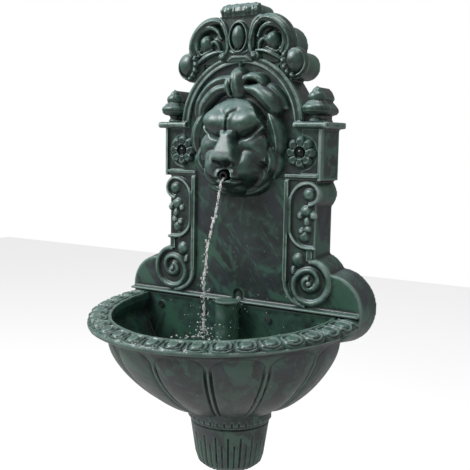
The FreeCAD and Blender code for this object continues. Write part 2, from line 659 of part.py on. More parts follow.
def make_crest():
    height, proud = s.roll_height, s.crest_relief
    roll = rod("roll", s.roll_radius, (-s.roll_half_length, -s.panel_depth, height),
               s.roll_half_length * 2, "x")
    parts = [roll, raised_box("crest_ground", (-s.ring_half_width, s.ring_half_width),
                              (s.tail_tip + 2, height), proud)]
    for index, share in enumerate((-0.62, -0.31, 0, 0.31, 0.62)):
        parts.append(hoop(f"roll_band_{index}", s.roll_radius, s.roll_band,
                          (s.roll_half_length * share, -s.panel_depth, height), "x"))
    parts.append(egg("ring", (s.ring_half_width, s.ring_proud, s.ring_half_height),
                     (0, -s.panel_depth, s.cabochon_height)))
    parts.append(egg("cabochon", (s.cabochon_half_width, s.cabochon_proud, s.cabochon_half_height),
                     (0, -s.panel_depth, s.cabochon_height)))
    parts.append(rod("tail_bar", 3, (-s.tail_bar_half, -s.panel_depth - s.crest_relief, s.tail_bar_height),
                     s.tail_bar_half * 2, "x"))
    parts.append(egg("tail_tip", (8, 13, 8), (0, -s.panel_depth, s.tail_tip + 8)))
    for side, x in sides(s.curl_ball_x):
        parts.append(egg(f"curl_ball_{side}", (8, proud + 4, 7),
                         (x, -s.panel_depth, s.tail_bar_height + 3)))
    node("crest_cartouche", flat_back("cartouche_casting", fuse("cartouche_parts", parts),
                                      [arch_clearance("cartouche_arch")]))
    strap = rope("strap", s.strap_radius - s.strap_band / 2, s.strap_band / 2, s.strap_x, s.strap_height,
                 -50, 290, proud)
    ground = raised_disc("strap_ground", s.strap_radius - 1, s.strap_x, s.strap_height, proud / 3)
    inner = raised_disc("inner_ground", s.crest_inner_radius, s.crest_inner_x, s.crest_inner_height,
                        proud / 4)
    paw = raised_disc("paw_ground", s.paw_radius, s.paw_x, s.paw_height, proud / 2)
    parts = [strap, ground, inner, paw,
             lump("bud_ball", s.bud_radius, s.bud_radius + 2, s.strap_x, s.strap_height, proud + 2),
             lump("paw_ball", s.paw_radius - 4, s.paw_radius - 5, s.paw_x - 2, s.paw_height, proud + 2, 40)]
    for index in range(3):
        angle = math.radians(10 + 35 * index)
        parts.append(lump(f"paw_knob_{index}", 6.5, 6.5, s.paw_x + (s.paw_radius - 8) * math.cos(angle),
                          s.paw_height + (s.paw_radius - 8) * math.sin(angle), proud + 3))
    middle = [arch_clearance("scroll_arch"),
              raised_disc("scroll_field", s.arch_radius, 0, s.arch_centre, s.panel_depth),
              block("scroll_middle", (-s.ring_half_width - 1, s.ring_half_width + 1),
                    (-s.panel_depth * 2, 0), (0, height)),
              rod("scroll_roll", s.roll_radius + s.roll_band + s.ornament_fit,
                  (-s.roll_half_length - 1, -s.panel_depth, height), s.roll_half_length * 2 + 2, "x"),
              egg("scroll_curl", (9, proud + 5, 8), (s.curl_ball_x, -s.panel_depth, s.tail_bar_height + 3)),
              rod("scroll_bar", 3.5, (0, -s.panel_depth - s.crest_relief, s.tail_bar_height),
                  s.tail_bar_half + 1, "x")]
    right = flat_back("crest_casting", fuse("crest_parts", parts), middle)
    node("crest_scroll_right", right)
    node("crest_scroll_left", mirror("crest_mirrored", right))


def make_lion_mask():
    centre = (s.mask_top - s.mask_bottom) / 2
    half_height = (s.mask_top + s.mask_bottom) / 2
    face = s.face_relief
    front = s.muzzle_front - s.panel_depth
    lock_reach = 0.8
    parts = [lump("mane", s.mask_half_width * 0.93, half_height * 0.95, 0, centre, s.mane_relief),
             lump("face", s.face_half_width, s.face_half_height, 0, centre * 0.8, face),
             egg("muzzle", (s.muzzle_half_width, 26, 25), (0, -s.muzzle_front + 26, -s.mouth_drop + 20)),
             egg("chin", (21, 24, 15), (0, -s.panel_depth - front * 0.45, -s.mouth_drop - 16)),
             egg("nose_bridge", (11, 30, 34), (0, -s.panel_depth - face * 0.55, centre * 0.6)),
             egg("beard", (34, 16, 17), (0, -s.panel_depth - 12, -s.mask_bottom + 17.5)),
             egg("tuft", (16, 20, 24), (0, -s.panel_depth, s.mask_top - 24))]
    for side, sign in (("right", 1), ("left", -1)):
        for label, half_sizes, offset, z, depth, tilt in (
                ("brow", (19, 13, 9), 22, centre * 1.65, 26, 18), ("cheek", (20, 22, 22), 36, -6, 16, 0),
                ("ear", (11, 12, 13), 54, centre * 2.4, 14, 30), ("lip", (17, 20, 14), 14, -24, 34, -20)):
            parts.append(egg(f"{label}_{side}", half_sizes,
                             (offset * sign, -s.panel_depth - depth, z), tilt * -sign))
    locks = 18
    for index in range(locks):
        angle = math.tau * (index + 0.5) / locks
        parts.append(lump(f"lock_{index}", 24, 11, s.mask_half_width * lock_reach * math.sin(angle) * 0.94,
                          centre + half_height * lock_reach * math.cos(angle) * 0.95,
                          s.mane_relief + 2, math.degrees(angle) - 90))
    mouth = [plain_disc("mouth_bore", s.mouth_radius, 0, -s.mouth_drop, s.panel_depth - 1,
                        s.muzzle_front + 9),
             plain_disc("mask_pocket", s.mask_pocket, 0, -s.mouth_drop, s.panel_depth - 1,
                        s.panel_depth + s.mask_pocket_depth)]
    below = egg("mask_below_cartouche", (14, 16, 10), (0, -s.panel_depth, s.tail_tip + 7))
    screws = []
    for side, x in sides(s.mask_screw_x):
        for level, z in (("high", s.mask_screw_rise), ("low", -s.mask_screw_drop)):
            tip = inside + s.mask_screw_length
            mouth.append(plain_disc(f"mask_thread_{side}_{level}", s.small_screw, x, z,
                                    s.panel_depth - 1, tip))
            shank = plain_disc(f"mask_shank_{side}_{level}", s.small_screw, x, z, inside - 1, tip)
            head = plain_disc(f"mask_head_{side}_{level}", s.small_head, x, z,
                              inside - s.head_height, inside)
            screws.append(fuse(f"mask_screw_{side}_{level}", [head, shank]))
    node("lion_mask", flat_back("mask_casting", fuse("mask_parts", parts),
                                mouth + around_rosettes("mask") + [below]))
    node("mask_screws", group("mask_screw_set", screws))


# Spout: a nozzle through the lion's mouth, its locknut and an elbow down to the hose

def on_axis(label, radius, front, back, z=None):
    """A round form square to the wall at the height of the mouth."""
    return plain_disc(label, radius, 0, -s.mouth_drop if z is None else z, back, front)


def make_spout():
    thread_end = s.spout_tail
    nozzle = fuse("nozzle_parts", [
        on_axis("nozzle_tube", s.spout_radius, s.spout_front, s.panel_depth),
        on_axis("nozzle_lip", s.spout_radius + 1, s.spout_front, s.spout_front - 3),
        on_axis("nozzle_collar", s.spout_collar_radius, s.panel_depth + s.spout_collar, s.panel_depth),
        on_axis("nozzle_thread", s.spout_thread, s.panel_depth + 1, thread_end)])
    node("spout_nozzle", cut("nozzle", nozzle, [on_axis("nozzle_bore", s.spout_bore, s.spout_front + 1,
                                                       thread_end - 1)]))
    bench = Bench("locknut_body", (0, -inside + s.locknut_thickness, -s.mouth_drop), FACING)
    corners = [(s.locknut_radius * math.cos(math.tau * k / 6), s.locknut_radius * math.sin(math.tau * k / 6))
               for k in range(6)]
    bench.sketch().polygon(corners).pad(s.locknut_thickness)
    bench.sketch().circle(s.spout_thread).through().finish("spout_locknut")
    low = -s.mouth_drop - s.elbow_half_height
    half = s.elbow_half_width
    elbow = fuse("elbow_parts", [
        block("elbow_block", (-half, half), (-s.elbow_front, -s.elbow_back),
              (low, low + s.elbow_half_height * 2)),
        rod("elbow_barb", s.hose_bore, (0, -s.hose_depth, -s.barb_drop), s.barb_drop + low + 1)])
    node("spout_elbow", cut("elbow", elbow, [
        on_axis("elbow_socket", s.spout_thread, s.elbow_front + 1, thread_end),
        on_axis("elbow_bore", s.spout_bore, s.elbow_front, s.hose_depth),
        rod("elbow_drop", s.spout_bore, (0, -s.hose_depth, -s.barb_drop - 1),
            s.barb_drop - s.mouth_drop + 1)]))


# Hose: from the elbow down behind the panel, through the notch and down the riser to the pump

def hose_route():
    """Straight, two opposite bends of one radius that carry it forward into the riser, and straight."""
    top = -(s.barb_drop - s.barb_overlap).value
    step = float(s.riser_depth - s.hose_depth)
    bend = float(s.hose_bend)
    turn = math.acos(1 - step / (2 * bend))
    start = Vector(0, -s.hose_depth.value, -s.hose_turn_drop.value)

    def behind(angle):
        return start + Vector(0, -bend * (1 - math.cos(angle)), -bend * math.sin(angle))

    end = start + Vector(0, -step, -2 * bend * math.sin(turn))

    def ahead(angle):
        return end + Vector(0, bend * (1 - math.cos(angle)), bend * math.sin(angle))

    foot = Vector(end.x, end.y, -s.hose_foot_drop.value)
    head = Vector(0, start.y, top)
    return [Part.LineSegment(head, start), Part.Arc(start, behind(turn / 2), behind(turn)),
            Part.Arc(ahead(turn), ahead(turn / 2), end), Part.LineSegment(end, foot)]


def make_hose():
    route = Part.Wire([piece.toShape() for piece in hose_route()])
    start = route.OrderedVertexes[0].Point
    down = Vector(0, 0, -1)

    def tube(radius):
        ring = Part.Wire(Part.Circle(start, down, radius.value).toShape())
        return route.makePipeShell([ring], True, False)

    hose = tube(s.hose_radius).cut(tube(s.hose_bore))
    section = math.pi * (s.hose_radius.value ** 2 - s.hose_bore.value ** 2)
    print("hose: bends of", s.hose_bend.value, "mm, volume", round(hose.Volume), "against",
          round(section * route.Length))
    node("supply_hose", shaped("hose", hose))
    clamps = []
    foot = -s.hose_foot_drop
    for place, y, low in (("top", s.hose_depth, s.barb_overlap / 4 - s.barb_drop),
                          ("foot", s.riser_depth, foot + 4)):
        outer = s.hose_radius + s.clamp_band
        ring = rod(f"clamp_ring_{place}", outer, (0, -y, low), s.clamp_width)
        ear = block(f"clamp_ear_{place}", (-3, 3), (-y - outer - 4, -y - outer + 2),
                    (low, low + s.clamp_width))
        bore = rod(f"clamp_bore_{place}", s.hose_radius, (0, -y, low - 1), s.clamp_width + 2)
        clamps.append(cut(f"clamp_{place}", fuse(f"clamp_parts_{place}", [ring, ear]), [bore]))
    node("hose_clamps", group("hose_clamp_pair", clamps))


# Basin: a half-round bowl with a broad rim, flat at the back where it bolts to the panel

def half_round(half_width, reach, depth, drop, tilt=0.0):
    """A level outline: half an ellipse in front of its centre depth, square to the back behind it."""
    half_width, reach, depth, drop = (as_size(size).value for size in (half_width, reach, depth, drop))
    back = -s.basin_back.value
    centre = Vector(0, -depth, -drop)
    ellipse = Part.Ellipse(centre + Vector(half_width, 0, 0), centre + Vector(0, -reach, 0), centre) \
        if half_width >= reach else \
        Part.Ellipse(centre + Vector(0, -reach, 0), centre + Vector(half_width, 0, 0), centre)
    right, front = centre + Vector(half_width, 0, 0), centre + Vector(0, -reach, 0)
    left = centre + Vector(-half_width, 0, 0)
    quarters = []
    for first, last in ((right, front), (front, left)):
        a, b = ellipse.parameter(first), ellipse.parameter(last)
        low, high = sorted((a, b))
        if high - low > math.pi:
            low, high = high, low + math.tau
        arc = Part.ArcOfEllipse(ellipse, low, high).toShape()
        quarters.append(arc)
    corner_right, corner_left = Vector(half_width, back, -drop), Vector(-half_width, back, -drop)
    ends = [(left, corner_left), (corner_left, corner_right), (corner_right, right)]
    lines = [Part.LineSegment(a, b).toShape() for a, b in ends]
    wire = Part.Wire(Part.__sortEdges__(quarters + lines))
    wire.rotate(Vector(0, back, -drop), Vector(1, 0, 0), tilt)
    return wire


def bowl_section(half_width, drop, depth=None, tilt=0.0, grow=1.0):
    """A section of the bowl, as much longer than wide as the rim is."""
    half_width = as_size(half_width).value
    stretch = (s.rim_reach / s.rim_half_width).value
    blend = (half_width - s.foot_half_width.value) / (s.bowl_half_width - s.foot_half_width).value
    blend = min(max(blend, 0.0), 1.0)
    reach = half_width * (1 + (stretch - 1) * blend) * grow
    depth = s.drum_depth.value + (s.rim_depth - s.drum_depth).value * blend
    return half_round(half_width, reach, depth, drop, tilt)


def inward(profile, wall):
    """The inner points of a wall behind each middle point of a profile of half widths and drops."""
    points = []
    for (a0, d0), (a1, d1), (a2, d2) in zip(profile, profile[1:], profile[2:]):
        across, down = a2 - a0, d2 - d0
        length = math.hypot(across, down)
        points.append((a1 - wall * down / length, d1 + wall * across / length))
    return points


def make_basin():
    tilt = s.rim_tilt.value
    profile = [(s.neck_half_width, s.neck_drop), (s.bowl_half_width, s.bowl_drop),
               (s.haunch_half_width, s.haunch_drop), (s.low_half_width, s.low_drop),
               (s.foot_half_width, s.foot_drop)]
    profile = [(a.value, b.value) for a, b in profile]
    bowl = Part.makeLoft([bowl_section(a, b) for a, b in profile], True)
    rim_in = (s.rim_inner_half_width, s.rim_inner_reach, s.rim_depth)
    rim_out = (s.rim_half_width, s.rim_reach, s.rim_depth)
    shy = 3
    under = s.neck_half_width + 14
    rim = Part.makeLoft([
        half_round(*rim_in, s.rim_inner_drop, tilt),
        half_round(rim_out[0] - 14, rim_out[1] - 14, rim_out[2], s.rim_inner_drop + 1, tilt),
        half_round(rim_out[0] - shy, rim_out[1] - shy, rim_out[2], s.rim_drop - shy, tilt),
        half_round(*rim_out, s.rim_drop, tilt),
        half_round(rim_out[0] - 1, rim_out[1] - 1, rim_out[2], s.rim_drop + s.rim_edge, tilt),
        half_round(under, under * (s.rim_reach / s.rim_half_width).value, rim_out[2],
                   s.rim_drop + s.rim_edge + 5, tilt * 0.6),
        bowl_section(s.neck_half_width + 2, s.neck_drop - 4),
        bowl_section(s.neck_half_width, s.neck_drop + 1)], True, True)
    wall = s.bowl_wall.value
    inner = inward(profile, wall)
    neck = s.neck_half_width.value - wall
    hollow = Part.makeLoft([bowl_section(neck, profile[0][1])] +
                           [bowl_section(a, d) for a, d in inner] +
                           [bowl_section(s.floor_half_width, s.basin_floor)], True)
    lip_reach = s.rim_inner_reach
    throat = Part.makeLoft([
        half_round(s.rim_inner_half_width, lip_reach, s.rim_depth, s.rim_inner_drop - 20, tilt),
        half_round(s.rim_inner_half_width, lip_reach, s.rim_depth, s.rim_inner_drop + 12, tilt),
        bowl_section(neck, profile[0][1] - 6), bowl_section(neck, profile[0][1])], True, True)
    back = -(s.basin_back + s.bowl_wall).value
    deep = float(s.rim_reach * 2)
    front_only = Part.makeBox(deep, deep, deep, Vector(-deep / 2, back - deep, -s.drum_drop.value))
    hollow = hollow.fuse(throat).common(front_only)
    opening = Part.makeCylinder(s.sump_opening.value, 20,
                                Vector(0, -s.drum_depth.value, -s.foot_drop.value - 5)).common(front_only)
    shape = bowl.fuse(rim).cut(hollow).cut(opening)
    solid = shaped("basin_solid", shape)
    holes = [block("basin_notch", (-s.notch_half_width, s.notch_half_width), (back - 1, 0),
                   (-s.notch_drop, 0))]
    for place, distance in (("outer", s.bolt_x), ("inner", s.inner_bolt_x)):
        for side, x in sides(distance):
            holes.append(plain_disc(f"basin_bolt_{side}_{place}", s.bolt_radius + s.screw_fit, x,
                                    -s.bolt_drop, s.basin_back - 1, s.basin_back + s.bowl_wall + 1))
    holes += drum_screw_forms("basin_screw", s.small_screw + s.screw_fit, -s.foot_drop - 1,
                              s.foot_drop - s.basin_floor + 2)
    node("basin_bowl", cut("basin", solid, holes))


def drum_screw_forms(label, radius, low, length):
    """Upright round forms at the four drum screws."""
    forms = []
    for index, degrees in enumerate((25, 65, 115, 155)):
        x = s.drum_screw_circle * math.cos(math.radians(degrees))
        y = -s.drum_depth - s.drum_screw_circle * math.sin(math.radians(degrees))
        forms.append(rod(f"{label}_{index}", radius, (x, y, low), length))
    return forms


def make_basin_fixings():
    gap = (-s.basin_back, -s.panel_depth)
    strips = []
    for side, x in sides(1):
        inner, outer = s.notch_half_width + 3, s.neck_half_width - 8
        low, high = (inner, outer) if side == "right" else (-outer, -inner)
        strip = block(f"seal_strip_{side}", (low, high), gap, (-s.neck_drop + 4, -s.lip_drop - 6))
        holes = [plain_disc(f"seal_hole_{side}_{place}", s.bolt_radius + s.screw_fit, distance * sign,
                            -s.bolt_drop, s.panel_depth - 1, s.basin_back + 1)
                 for sign in ((1,) if side == "right" else (-1,))
                 for place, distance in (("outer", s.bolt_x), ("inner", s.inner_bolt_x))]
        strips.append(cut(f"seal_{side}", strip, holes))
    node("seam_seal", group("seam_seal_strips", strips))
    bolts, washers, nuts = [], [], []
    head_seat = s.basin_back + s.bowl_wall
    nut_seat = inside - s.washer
    for place, distance in (("outer", s.bolt_x), ("inner", s.inner_bolt_x)):
        for side, x in sides(distance):
            name = f"{side}_{place}"
            z = -s.bolt_drop
            bolts.append(fuse(f"bolt_{name}", [
                plain_disc(f"bolt_head_{name}", s.bolt_head, x, z, head_seat, head_seat + s.bolt_radius),
                plain_disc(f"bolt_shank_{name}", s.bolt_radius, x, z,
                           nut_seat - s.wing_height - 2, head_seat)]))
            disc = plain_disc(f"washer_disc_{name}", s.washer_radius, x, z, nut_seat, inside)
            bore = plain_disc(f"washer_bore_{name}", s.bolt_radius, x, z, nut_seat - 1, inside + 1)
            washers.append(cut(f"washer_{name}", disc, [bore]))
            hub = plain_disc(f"wing_hub_{name}", s.wing_hub, x, z, nut_seat - s.wing_height, nut_seat)
            wings = block(f"wings_{name}", (x - s.wing_half_span, x + s.wing_half_span),
                          (-nut_seat + 1, s.wing_height - nut_seat + 4), (z - 1.2, z + 1.2))
            nuts.append(cut(f"wing_nut_{name}", fuse(f"wing_parts_{name}", [hub, wings]),
                            [plain_disc(f"wing_bore_{name}", s.bolt_radius, x, z,
                                        nut_seat - s.wing_height - 5, nut_seat + 1)]))
    node("basin_bolts", group("basin_bolt_set", bolts))
    node("basin_washers", group("basin_washer_set", washers))
    node("basin_wing_nuts", group("basin_wing_nut_set", nuts))


# Drum: the deep sump under the bowl, round in front and flat at the back

def turned(name, profile, depth, low=0):
    bench = Bench(name, (0, -depth, low))
    bench.sketch(0, "XZ_Plane").polygon(profile).turn()
    return bench.body


def in_front_of(label, depth):
    return block(label, (-s.rim_half_width, s.rim_half_width), (-s.rim_reach, -depth), (-s.drum_drop - 1, 0))


def make_drum():
    top = s.foot_drop + s.gasket
    wall = s.drum_wall
    outer = turned("drum_outer", [
        (0, -top), (s.drum_radius, -top), (s.drum_radius, -s.collar_drop),
        (s.drum_radius - 3, -s.collar_drop - 2), (s.drum_waist, -s.waist_drop),
        (s.drum_low, -s.low_turn_drop), (s.drum_round, -s.round_drop), (s.drum_heel, -s.heel_drop),
        (s.drum_foot, -s.drum_drop), (0, -s.drum_drop)], s.drum_depth)
    floor = s.sump_floor
    inner = turned("drum_inner", [
        (0, -top + 1), (s.flange_inner, -top + 1), (s.flange_inner, -top - s.flange),
        (s.drum_waist - wall, -top - s.flange - 5), (s.drum_waist - wall, -s.waist_drop),
        (s.drum_low - wall, -s.low_turn_drop), (s.drum_low - wall - 6, -floor), (0, -floor)], s.drum_depth)
    body = common("drum_form", outer, in_front_of("drum_front", s.basin_back))
    hollow = common("drum_hollow", inner, in_front_of("drum_hollow_front", s.basin_back + wall))
    holes = drum_screw_forms("drum_thread", s.small_screw, -top - s.flange - 1, s.flange + 2)
    node("sump_drum", cut("drum", body, [hollow] + holes))
    ring = turned("gasket_ring", [
        (s.flange_inner, -top), (s.drum_radius, -top), (s.drum_radius, -s.foot_drop),
        (s.flange_inner, -s.foot_drop)], s.drum_depth)
    back = block("gasket_back", (-s.flange_inner, s.flange_inner), (-s.basin_back - wall, -s.basin_back),
                 (-top, -s.foot_drop))
    front = common("gasket_form", ring, in_front_of("gasket_front", s.basin_back))
    gasket = fuse("gasket_parts", [front, back])
    node("sump_gasket", cut("gasket", gasket, drum_screw_forms("gasket_hole", s.small_screw + s.screw_fit,
                                                               -top - 1, s.gasket + 2)))
    shanks = drum_screw_forms("drum_shank", s.small_screw, -s.basin_floor - s.drum_screw_length,
                              s.drum_screw_length)
    heads = drum_screw_forms("drum_head", s.small_head, -s.basin_floor, s.head_height)
    node("drum_screws", group("drum_screw_set", [fuse(f"drum_screw_{index}", list(pair))
                                                 for index, pair in enumerate(zip(shanks, heads))]))


# Riser: a column on a slotted plate over the sump; it lifts out to reach the pump

def make_riser():
    floor, plate_top = -s.basin_floor, s.cover_plate - s.basin_floor
    axis = -s.riser_depth
    disc = rod("plate_round", s.cover_radius, (0, -s.drum_depth, floor), s.cover_plate)
    plate = common("plate_form", disc,
                   in_front_of("plate_front", s.basin_back + s.bowl_wall + s.piece_fit))
    column = rod("column", s.riser_radius, (0, axis, floor), s.basin_floor - s.riser_top)
    cap = rod("column_cap", s.riser_radius + 1.5, (0, axis, -s.riser_top - 3), 3)
    cap = common("column_cap_form", cap, in_front_of("cap_front", s.lip_front + s.ornament_fit))
    holes = [rod("column_bore", s.riser_radius - s.riser_wall, (0, axis, floor - 1),
                 s.basin_floor - s.riser_top - s.riser_wall * 2 + 1),
             block("column_slot", (-s.riser_slot, s.riser_slot), (axis, 0),
                   (-s.riser_slot_drop, -s.riser_slot_top))]
    ring = s.cover_radius - 12
    for index in range(9):
        angle = math.radians(200 + 17.5 * index)
        slot = doc.addObject("Part::Box", f"cover_slot_{index}")
        bind(slot, Length=s.cover_slot_length, Width=s.cover_slot, Height=s.cover_plate + 2)
        start = ring - s.cover_slot_length / 2
        put(slot, start * math.cos(angle), start * math.sin(angle) - s.drum_depth, floor - 1,
            Rotation(Vector(0, 0, 1), math.degrees(angle)))
        holes.append(slot)
    node("riser_cover", cut("riser", fuse("riser_parts", [plate, column, cap]), holes))


# Pump: a small submersible pump lying along X in the drum, its outlet upwards into the hose

def across(label, radius, start, end, offset=(0, 0)):
    """A round form along the pump's own axis."""
    return rod(label, radius, (start, -s.pump_depth + offset[0], -s.pump_drop + offset[1]), end - start, "x")


def pump_block(label, start, end, wall=0):
    half_depth, half_height = s.pump_half_depth - wall, s.pump_half_height - wall
    return block(label, (start, end), (-s.pump_depth - half_depth, -s.pump_depth + half_depth),
                 (-s.pump_drop - half_height, -s.pump_drop + half_height))


def make_pump_body():
    well = s.magnet_radius + s.rotor_gap
    sleeve = well + s.pump_wall - 0.6
    well_end = s.motor_end - s.bush_length
    pot_start = s.motor_start + s.bush_length + 2
    pot_wall = s.pump_wall + 2
    pot = cut("pot_form", pump_block("pot_block", pot_start, s.motor_end, pot_wall),
              [across("pot_sleeve", sleeve, pot_start - 1, well_end)])
    seal = hoop("seal_groove", s.seal_circle, s.seal_band, (s.motor_start, -s.pump_depth, -s.pump_drop), "x")
    feet = []
    cups = []
    floor = -s.sump_floor
    low = -s.pump_drop - s.pump_half_height
    for index, (x, turn) in enumerate(((1, 1), (1, -1), (2, 1), (2, -1))):
        place = (s.motor_start + s.suction_radius * 2.2 * x - s.suction_radius,
                 -s.pump_depth + (s.pump_half_depth - s.suction_radius - 1) * turn)
        stem = s.suction_radius / 2.5
        feet.append(rod(f"cup_hole_{index}", stem, (*place, low - 1), s.pump_wall + 1))
        cups.append(fuse(f"suction_cup_{index}", [
            taper(f"cup_skirt_{index}", s.suction_radius, stem, (*place, floor), low - floor - 4),
            rod(f"cup_stem_{index}", stem, (*place, low - 4.5), s.pump_wall + 4.5),
            rod(f"cup_collar_{index}", stem + 1, (*place, low - 1.5), 1.5)]))
    gland_at = (s.motor_end, -s.pump_depth, s.pump_half_height / 2 - s.pump_drop + 1)
    housing = cut("housing_form", pump_block("housing_block", s.motor_start, s.motor_end),
                  [pot, across("rotor_well", well, s.motor_start - 1, well_end - s.pump_wall), seal] + feet)
    node("pump_housing", housing)
    node("stator_potting", cut("potting", pump_block("potting_block", pot_start, s.motor_end, pot_wall),
                               [across("potting_sleeve", sleeve, pot_start - 1, well_end)]))
    gland = fuse("gland_parts", [
        taper("gland_cone", s.gland_radius, s.gland_radius * 0.7, gland_at, s.gland_length, "x"),
        rod("gland_flange", s.gland_radius + 1, gland_at, s.pump_wall / 2, "x")])
    node("pump_gland", cut("gland", gland, [rod("gland_bore", s.grommet_bore - 1, gland_at,
                                                s.gland_length + 1, "x")]))
    node("housing_seal", hoop("housing_ring", s.seal_circle, s.seal_band,
                              (s.motor_start, -s.pump_depth, -s.pump_drop), "x"))
    node("suction_cups", group("suction_cup_set", cups))


def make_pump_front():
    face, start = s.pump_face, -s.pump_face
    top = s.pump_half_height - s.pump_drop
    outlet_top = s.barb_overlap - s.hose_foot_drop
    cover = fuse("pump_cover_parts", [
        pump_block("cover_block", start, s.motor_start),
        rod("outlet", s.hose_bore, (0, -s.riser_depth, top - 1), outlet_top - top + 1)])
    holes = [across("chamber", s.chamber_radius, start + s.pump_wall, s.motor_start + 1),
             rod("outlet_bore", s.spout_bore, (0, -s.riser_depth, -s.pump_drop),
                 outlet_top + s.pump_drop + 1),
             across("front_bush_seat", s.bush_radius, start + s.pump_wall / 2, start + s.pump_wall + 1),
             hoop("cover_seal_groove", s.seal_circle, s.seal_band,
                  (s.motor_start, -s.pump_depth, -s.pump_drop), "x")]
    eye = s.bush_radius + s.inlet_radius / 2 + 0.8
    for index in range(6):
        angle = math.tau * index / 6
        holes.append(across(f"inlet_{index}", s.inlet_radius / 2, start - 1, start + s.pump_wall + 1,
                            (eye * math.cos(angle), eye * math.sin(angle))))
    node("pump_cover", cut("pump_cover_form", cover, holes))
    far = -s.strainer_face
    inner = far + s.pump_wall
    strainer = cut("strainer_box", pump_block("strainer_block", far, start),
                   [pump_block("strainer_room", inner, start + 1, s.pump_wall)])
    slots = [across("dial_hole", s.dial_pin, far - 1, inner + 1)]
    for index in range(7):
        z = -s.pump_drop + (index - 3) * 4.2
        slots.append(block(f"strainer_slot_{index}", (inner + 1, start - s.pump_wall),
                           (-s.pump_depth - s.pump_half_depth - 1, -s.pump_depth + s.pump_half_depth + 1),
                           (z - 1, z + 1)))
    node("pump_strainer", cut("strainer", strainer, slots))
    node("filter_foam", cut("foam_form", pump_block("foam_block", inner, start, s.pump_wall),
                            [across("foam_hole", s.dial_pin + 1, inner - 1, inner + 1.5)]))
    dial = fuse("dial_parts", [
        across("dial_disc", s.dial_radius, far - s.dial_thickness, far - s.dial_fit),
        across("dial_pin_form", s.dial_pin - s.dial_fit, far - 1, inner + 1),
        block("dial_ridge", (far - s.dial_thickness - 1.6, far - s.dial_thickness + 0.5),
              (-s.pump_depth - 1, -s.pump_depth + 1), (-s.pump_drop - s.dial_radius + 1,
                                                      -s.pump_drop + s.dial_radius - 1))])
    node("flow_dial", dial)


def make_rotor():
    well_end = s.motor_end - s.bush_length - s.pump_wall
    start = -s.pump_face + s.pump_wall / 2
    node("rotor_shaft", across("shaft", s.shaft_radius, start, well_end))
    bushes = []
    for place, low in (("front", start), ("rear", well_end - s.bush_length)):
        outer = s.bush_radius if place == "front" else s.magnet_radius + s.rotor_gap
        bushes.append(cut(f"bush_{place}", across(f"bush_form_{place}", outer, low, low + s.bush_length),
                          [across(f"bush_bore_{place}", s.shaft_radius, low - 1, low + s.bush_length + 1)]))
    node("shaft_bushes", group("shaft_bush_pair", bushes))
    gap = s.rotor_gap
    low, high = start + s.bush_length + gap, well_end - s.bush_length - gap
    vane_end = s.motor_start - 2.4
    parts = [across("magnet", s.magnet_radius, vane_end, high),
             across("shroud", s.impeller_radius, vane_end, vane_end + 1.6),
             across("hub", s.bush_radius, low, vane_end + 1)]
    for index in range(6):
        vane = doc.addObject("Part::Box", f"vane_{index}")
        bind(vane, Length=vane_end - low + 0.5, Width=1.2, Height=s.impeller_radius - 0.4)
        turn = Rotation(Vector(1, 0, 0), 60 * index)
        offset = turn.multVec(Vector(0, -0.6, 0))
        put(vane, low, -s.pump_depth + offset.y, -s.pump_drop + offset.z, turn)
        parts.append(vane)
    bore = across("rotor_bore", s.shaft_radius + s.shaft_fit, low - 1, high + 1)
    node("impeller_rotor", cut("rotor", fuse("rotor_parts", parts), [bore]))


# Hanging: keyhole plates behind the rosettes, their screws, and the cord's grommet

def make_hanging():
    plates, screws = [], []
    for side, x in sides(s.web_centre):
        width = (x - s.plate_half_width, x + s.plate_half_width)
        plate = block(f"plate_{side}", width, (-s.hanger_plate, 0),
                      (-s.plate_half_height, s.plate_half_height))
        slot = (x - s.keyhole_slot, x + s.keyhole_slot)
        holes = [plain_disc(f"key_entry_{side}", s.keyhole_entry, x, 0, -1, s.hanger_plate + 1),
                 plain_disc(f"key_top_{side}", s.keyhole_slot, x, s.keyhole_rise, -1, s.hanger_plate + 1),
                 block(f"key_slot_{side}", slot, (-s.hanger_plate - 1, 1), (0, s.keyhole_rise))]
        for place, turn in (("outer", 1), ("inner", -1)):
            name = f"{side}_{place}"
            at = x + s.hanger_screw_x * turn

            def sunk(label):
                cone = doc.addObject("Part::Cone", label)
                bind(cone, Radius1=s.small_head, Radius2=s.small_screw, Height=s.hanger_plate)
                return put(cone, at, 0, 0, FACING)

            holes.append(sunk(f"countersink_{name}"))
            screws.append(fuse(f"hanger_screw_{name}", [
                sunk(f"hanger_head_{name}"),
                plain_disc(f"hanger_shank_{name}", s.small_screw, at, 0, s.hanger_plate,
                           s.hanger_screw_length)]))
        plates.append(cut(f"hanger_plate_{side}", plate, holes))
    node("hanger_plates", group("hanger_plate_pair", plates))
    node("hanger_screws", group("hanger_screw_set", screws))
    at = (s.grommet_x, -s.grommet_depth)
    low, high = -s.trunk_drop, -s.trunk_drop + s.panel_wall
    length = s.panel_wall + s.grommet_flange * 2
    grommet = fuse("grommet_parts", [
        rod("grommet_body", s.grommet_radius, (*at, low - s.grommet_flange), length),
        rod("grommet_low", s.grommet_radius + 2.5, (*at, low - s.grommet_flange), s.grommet_flange),
        rod("grommet_high", s.grommet_radius + 2.5, (*at, high), s.grommet_flange)])
    bore = rod("grommet_bore_form", s.grommet_bore, (*at, low - s.grommet_flange - 1), length + 2)
    node("cable_grommet", cut("grommet", grommet, [bore]))


make_back_panel()
make_arch_moulding()
make_side_scrolls()
make_rosettes()
make_finials()
make_crest()
make_lion_mask()
make_spout()
make_hose()
make_basin()
make_basin_fixings()
make_drum()
make_riser()
make_pump_body()
make_pump_front()
make_rotor()
make_hanging()
doc.recompute()

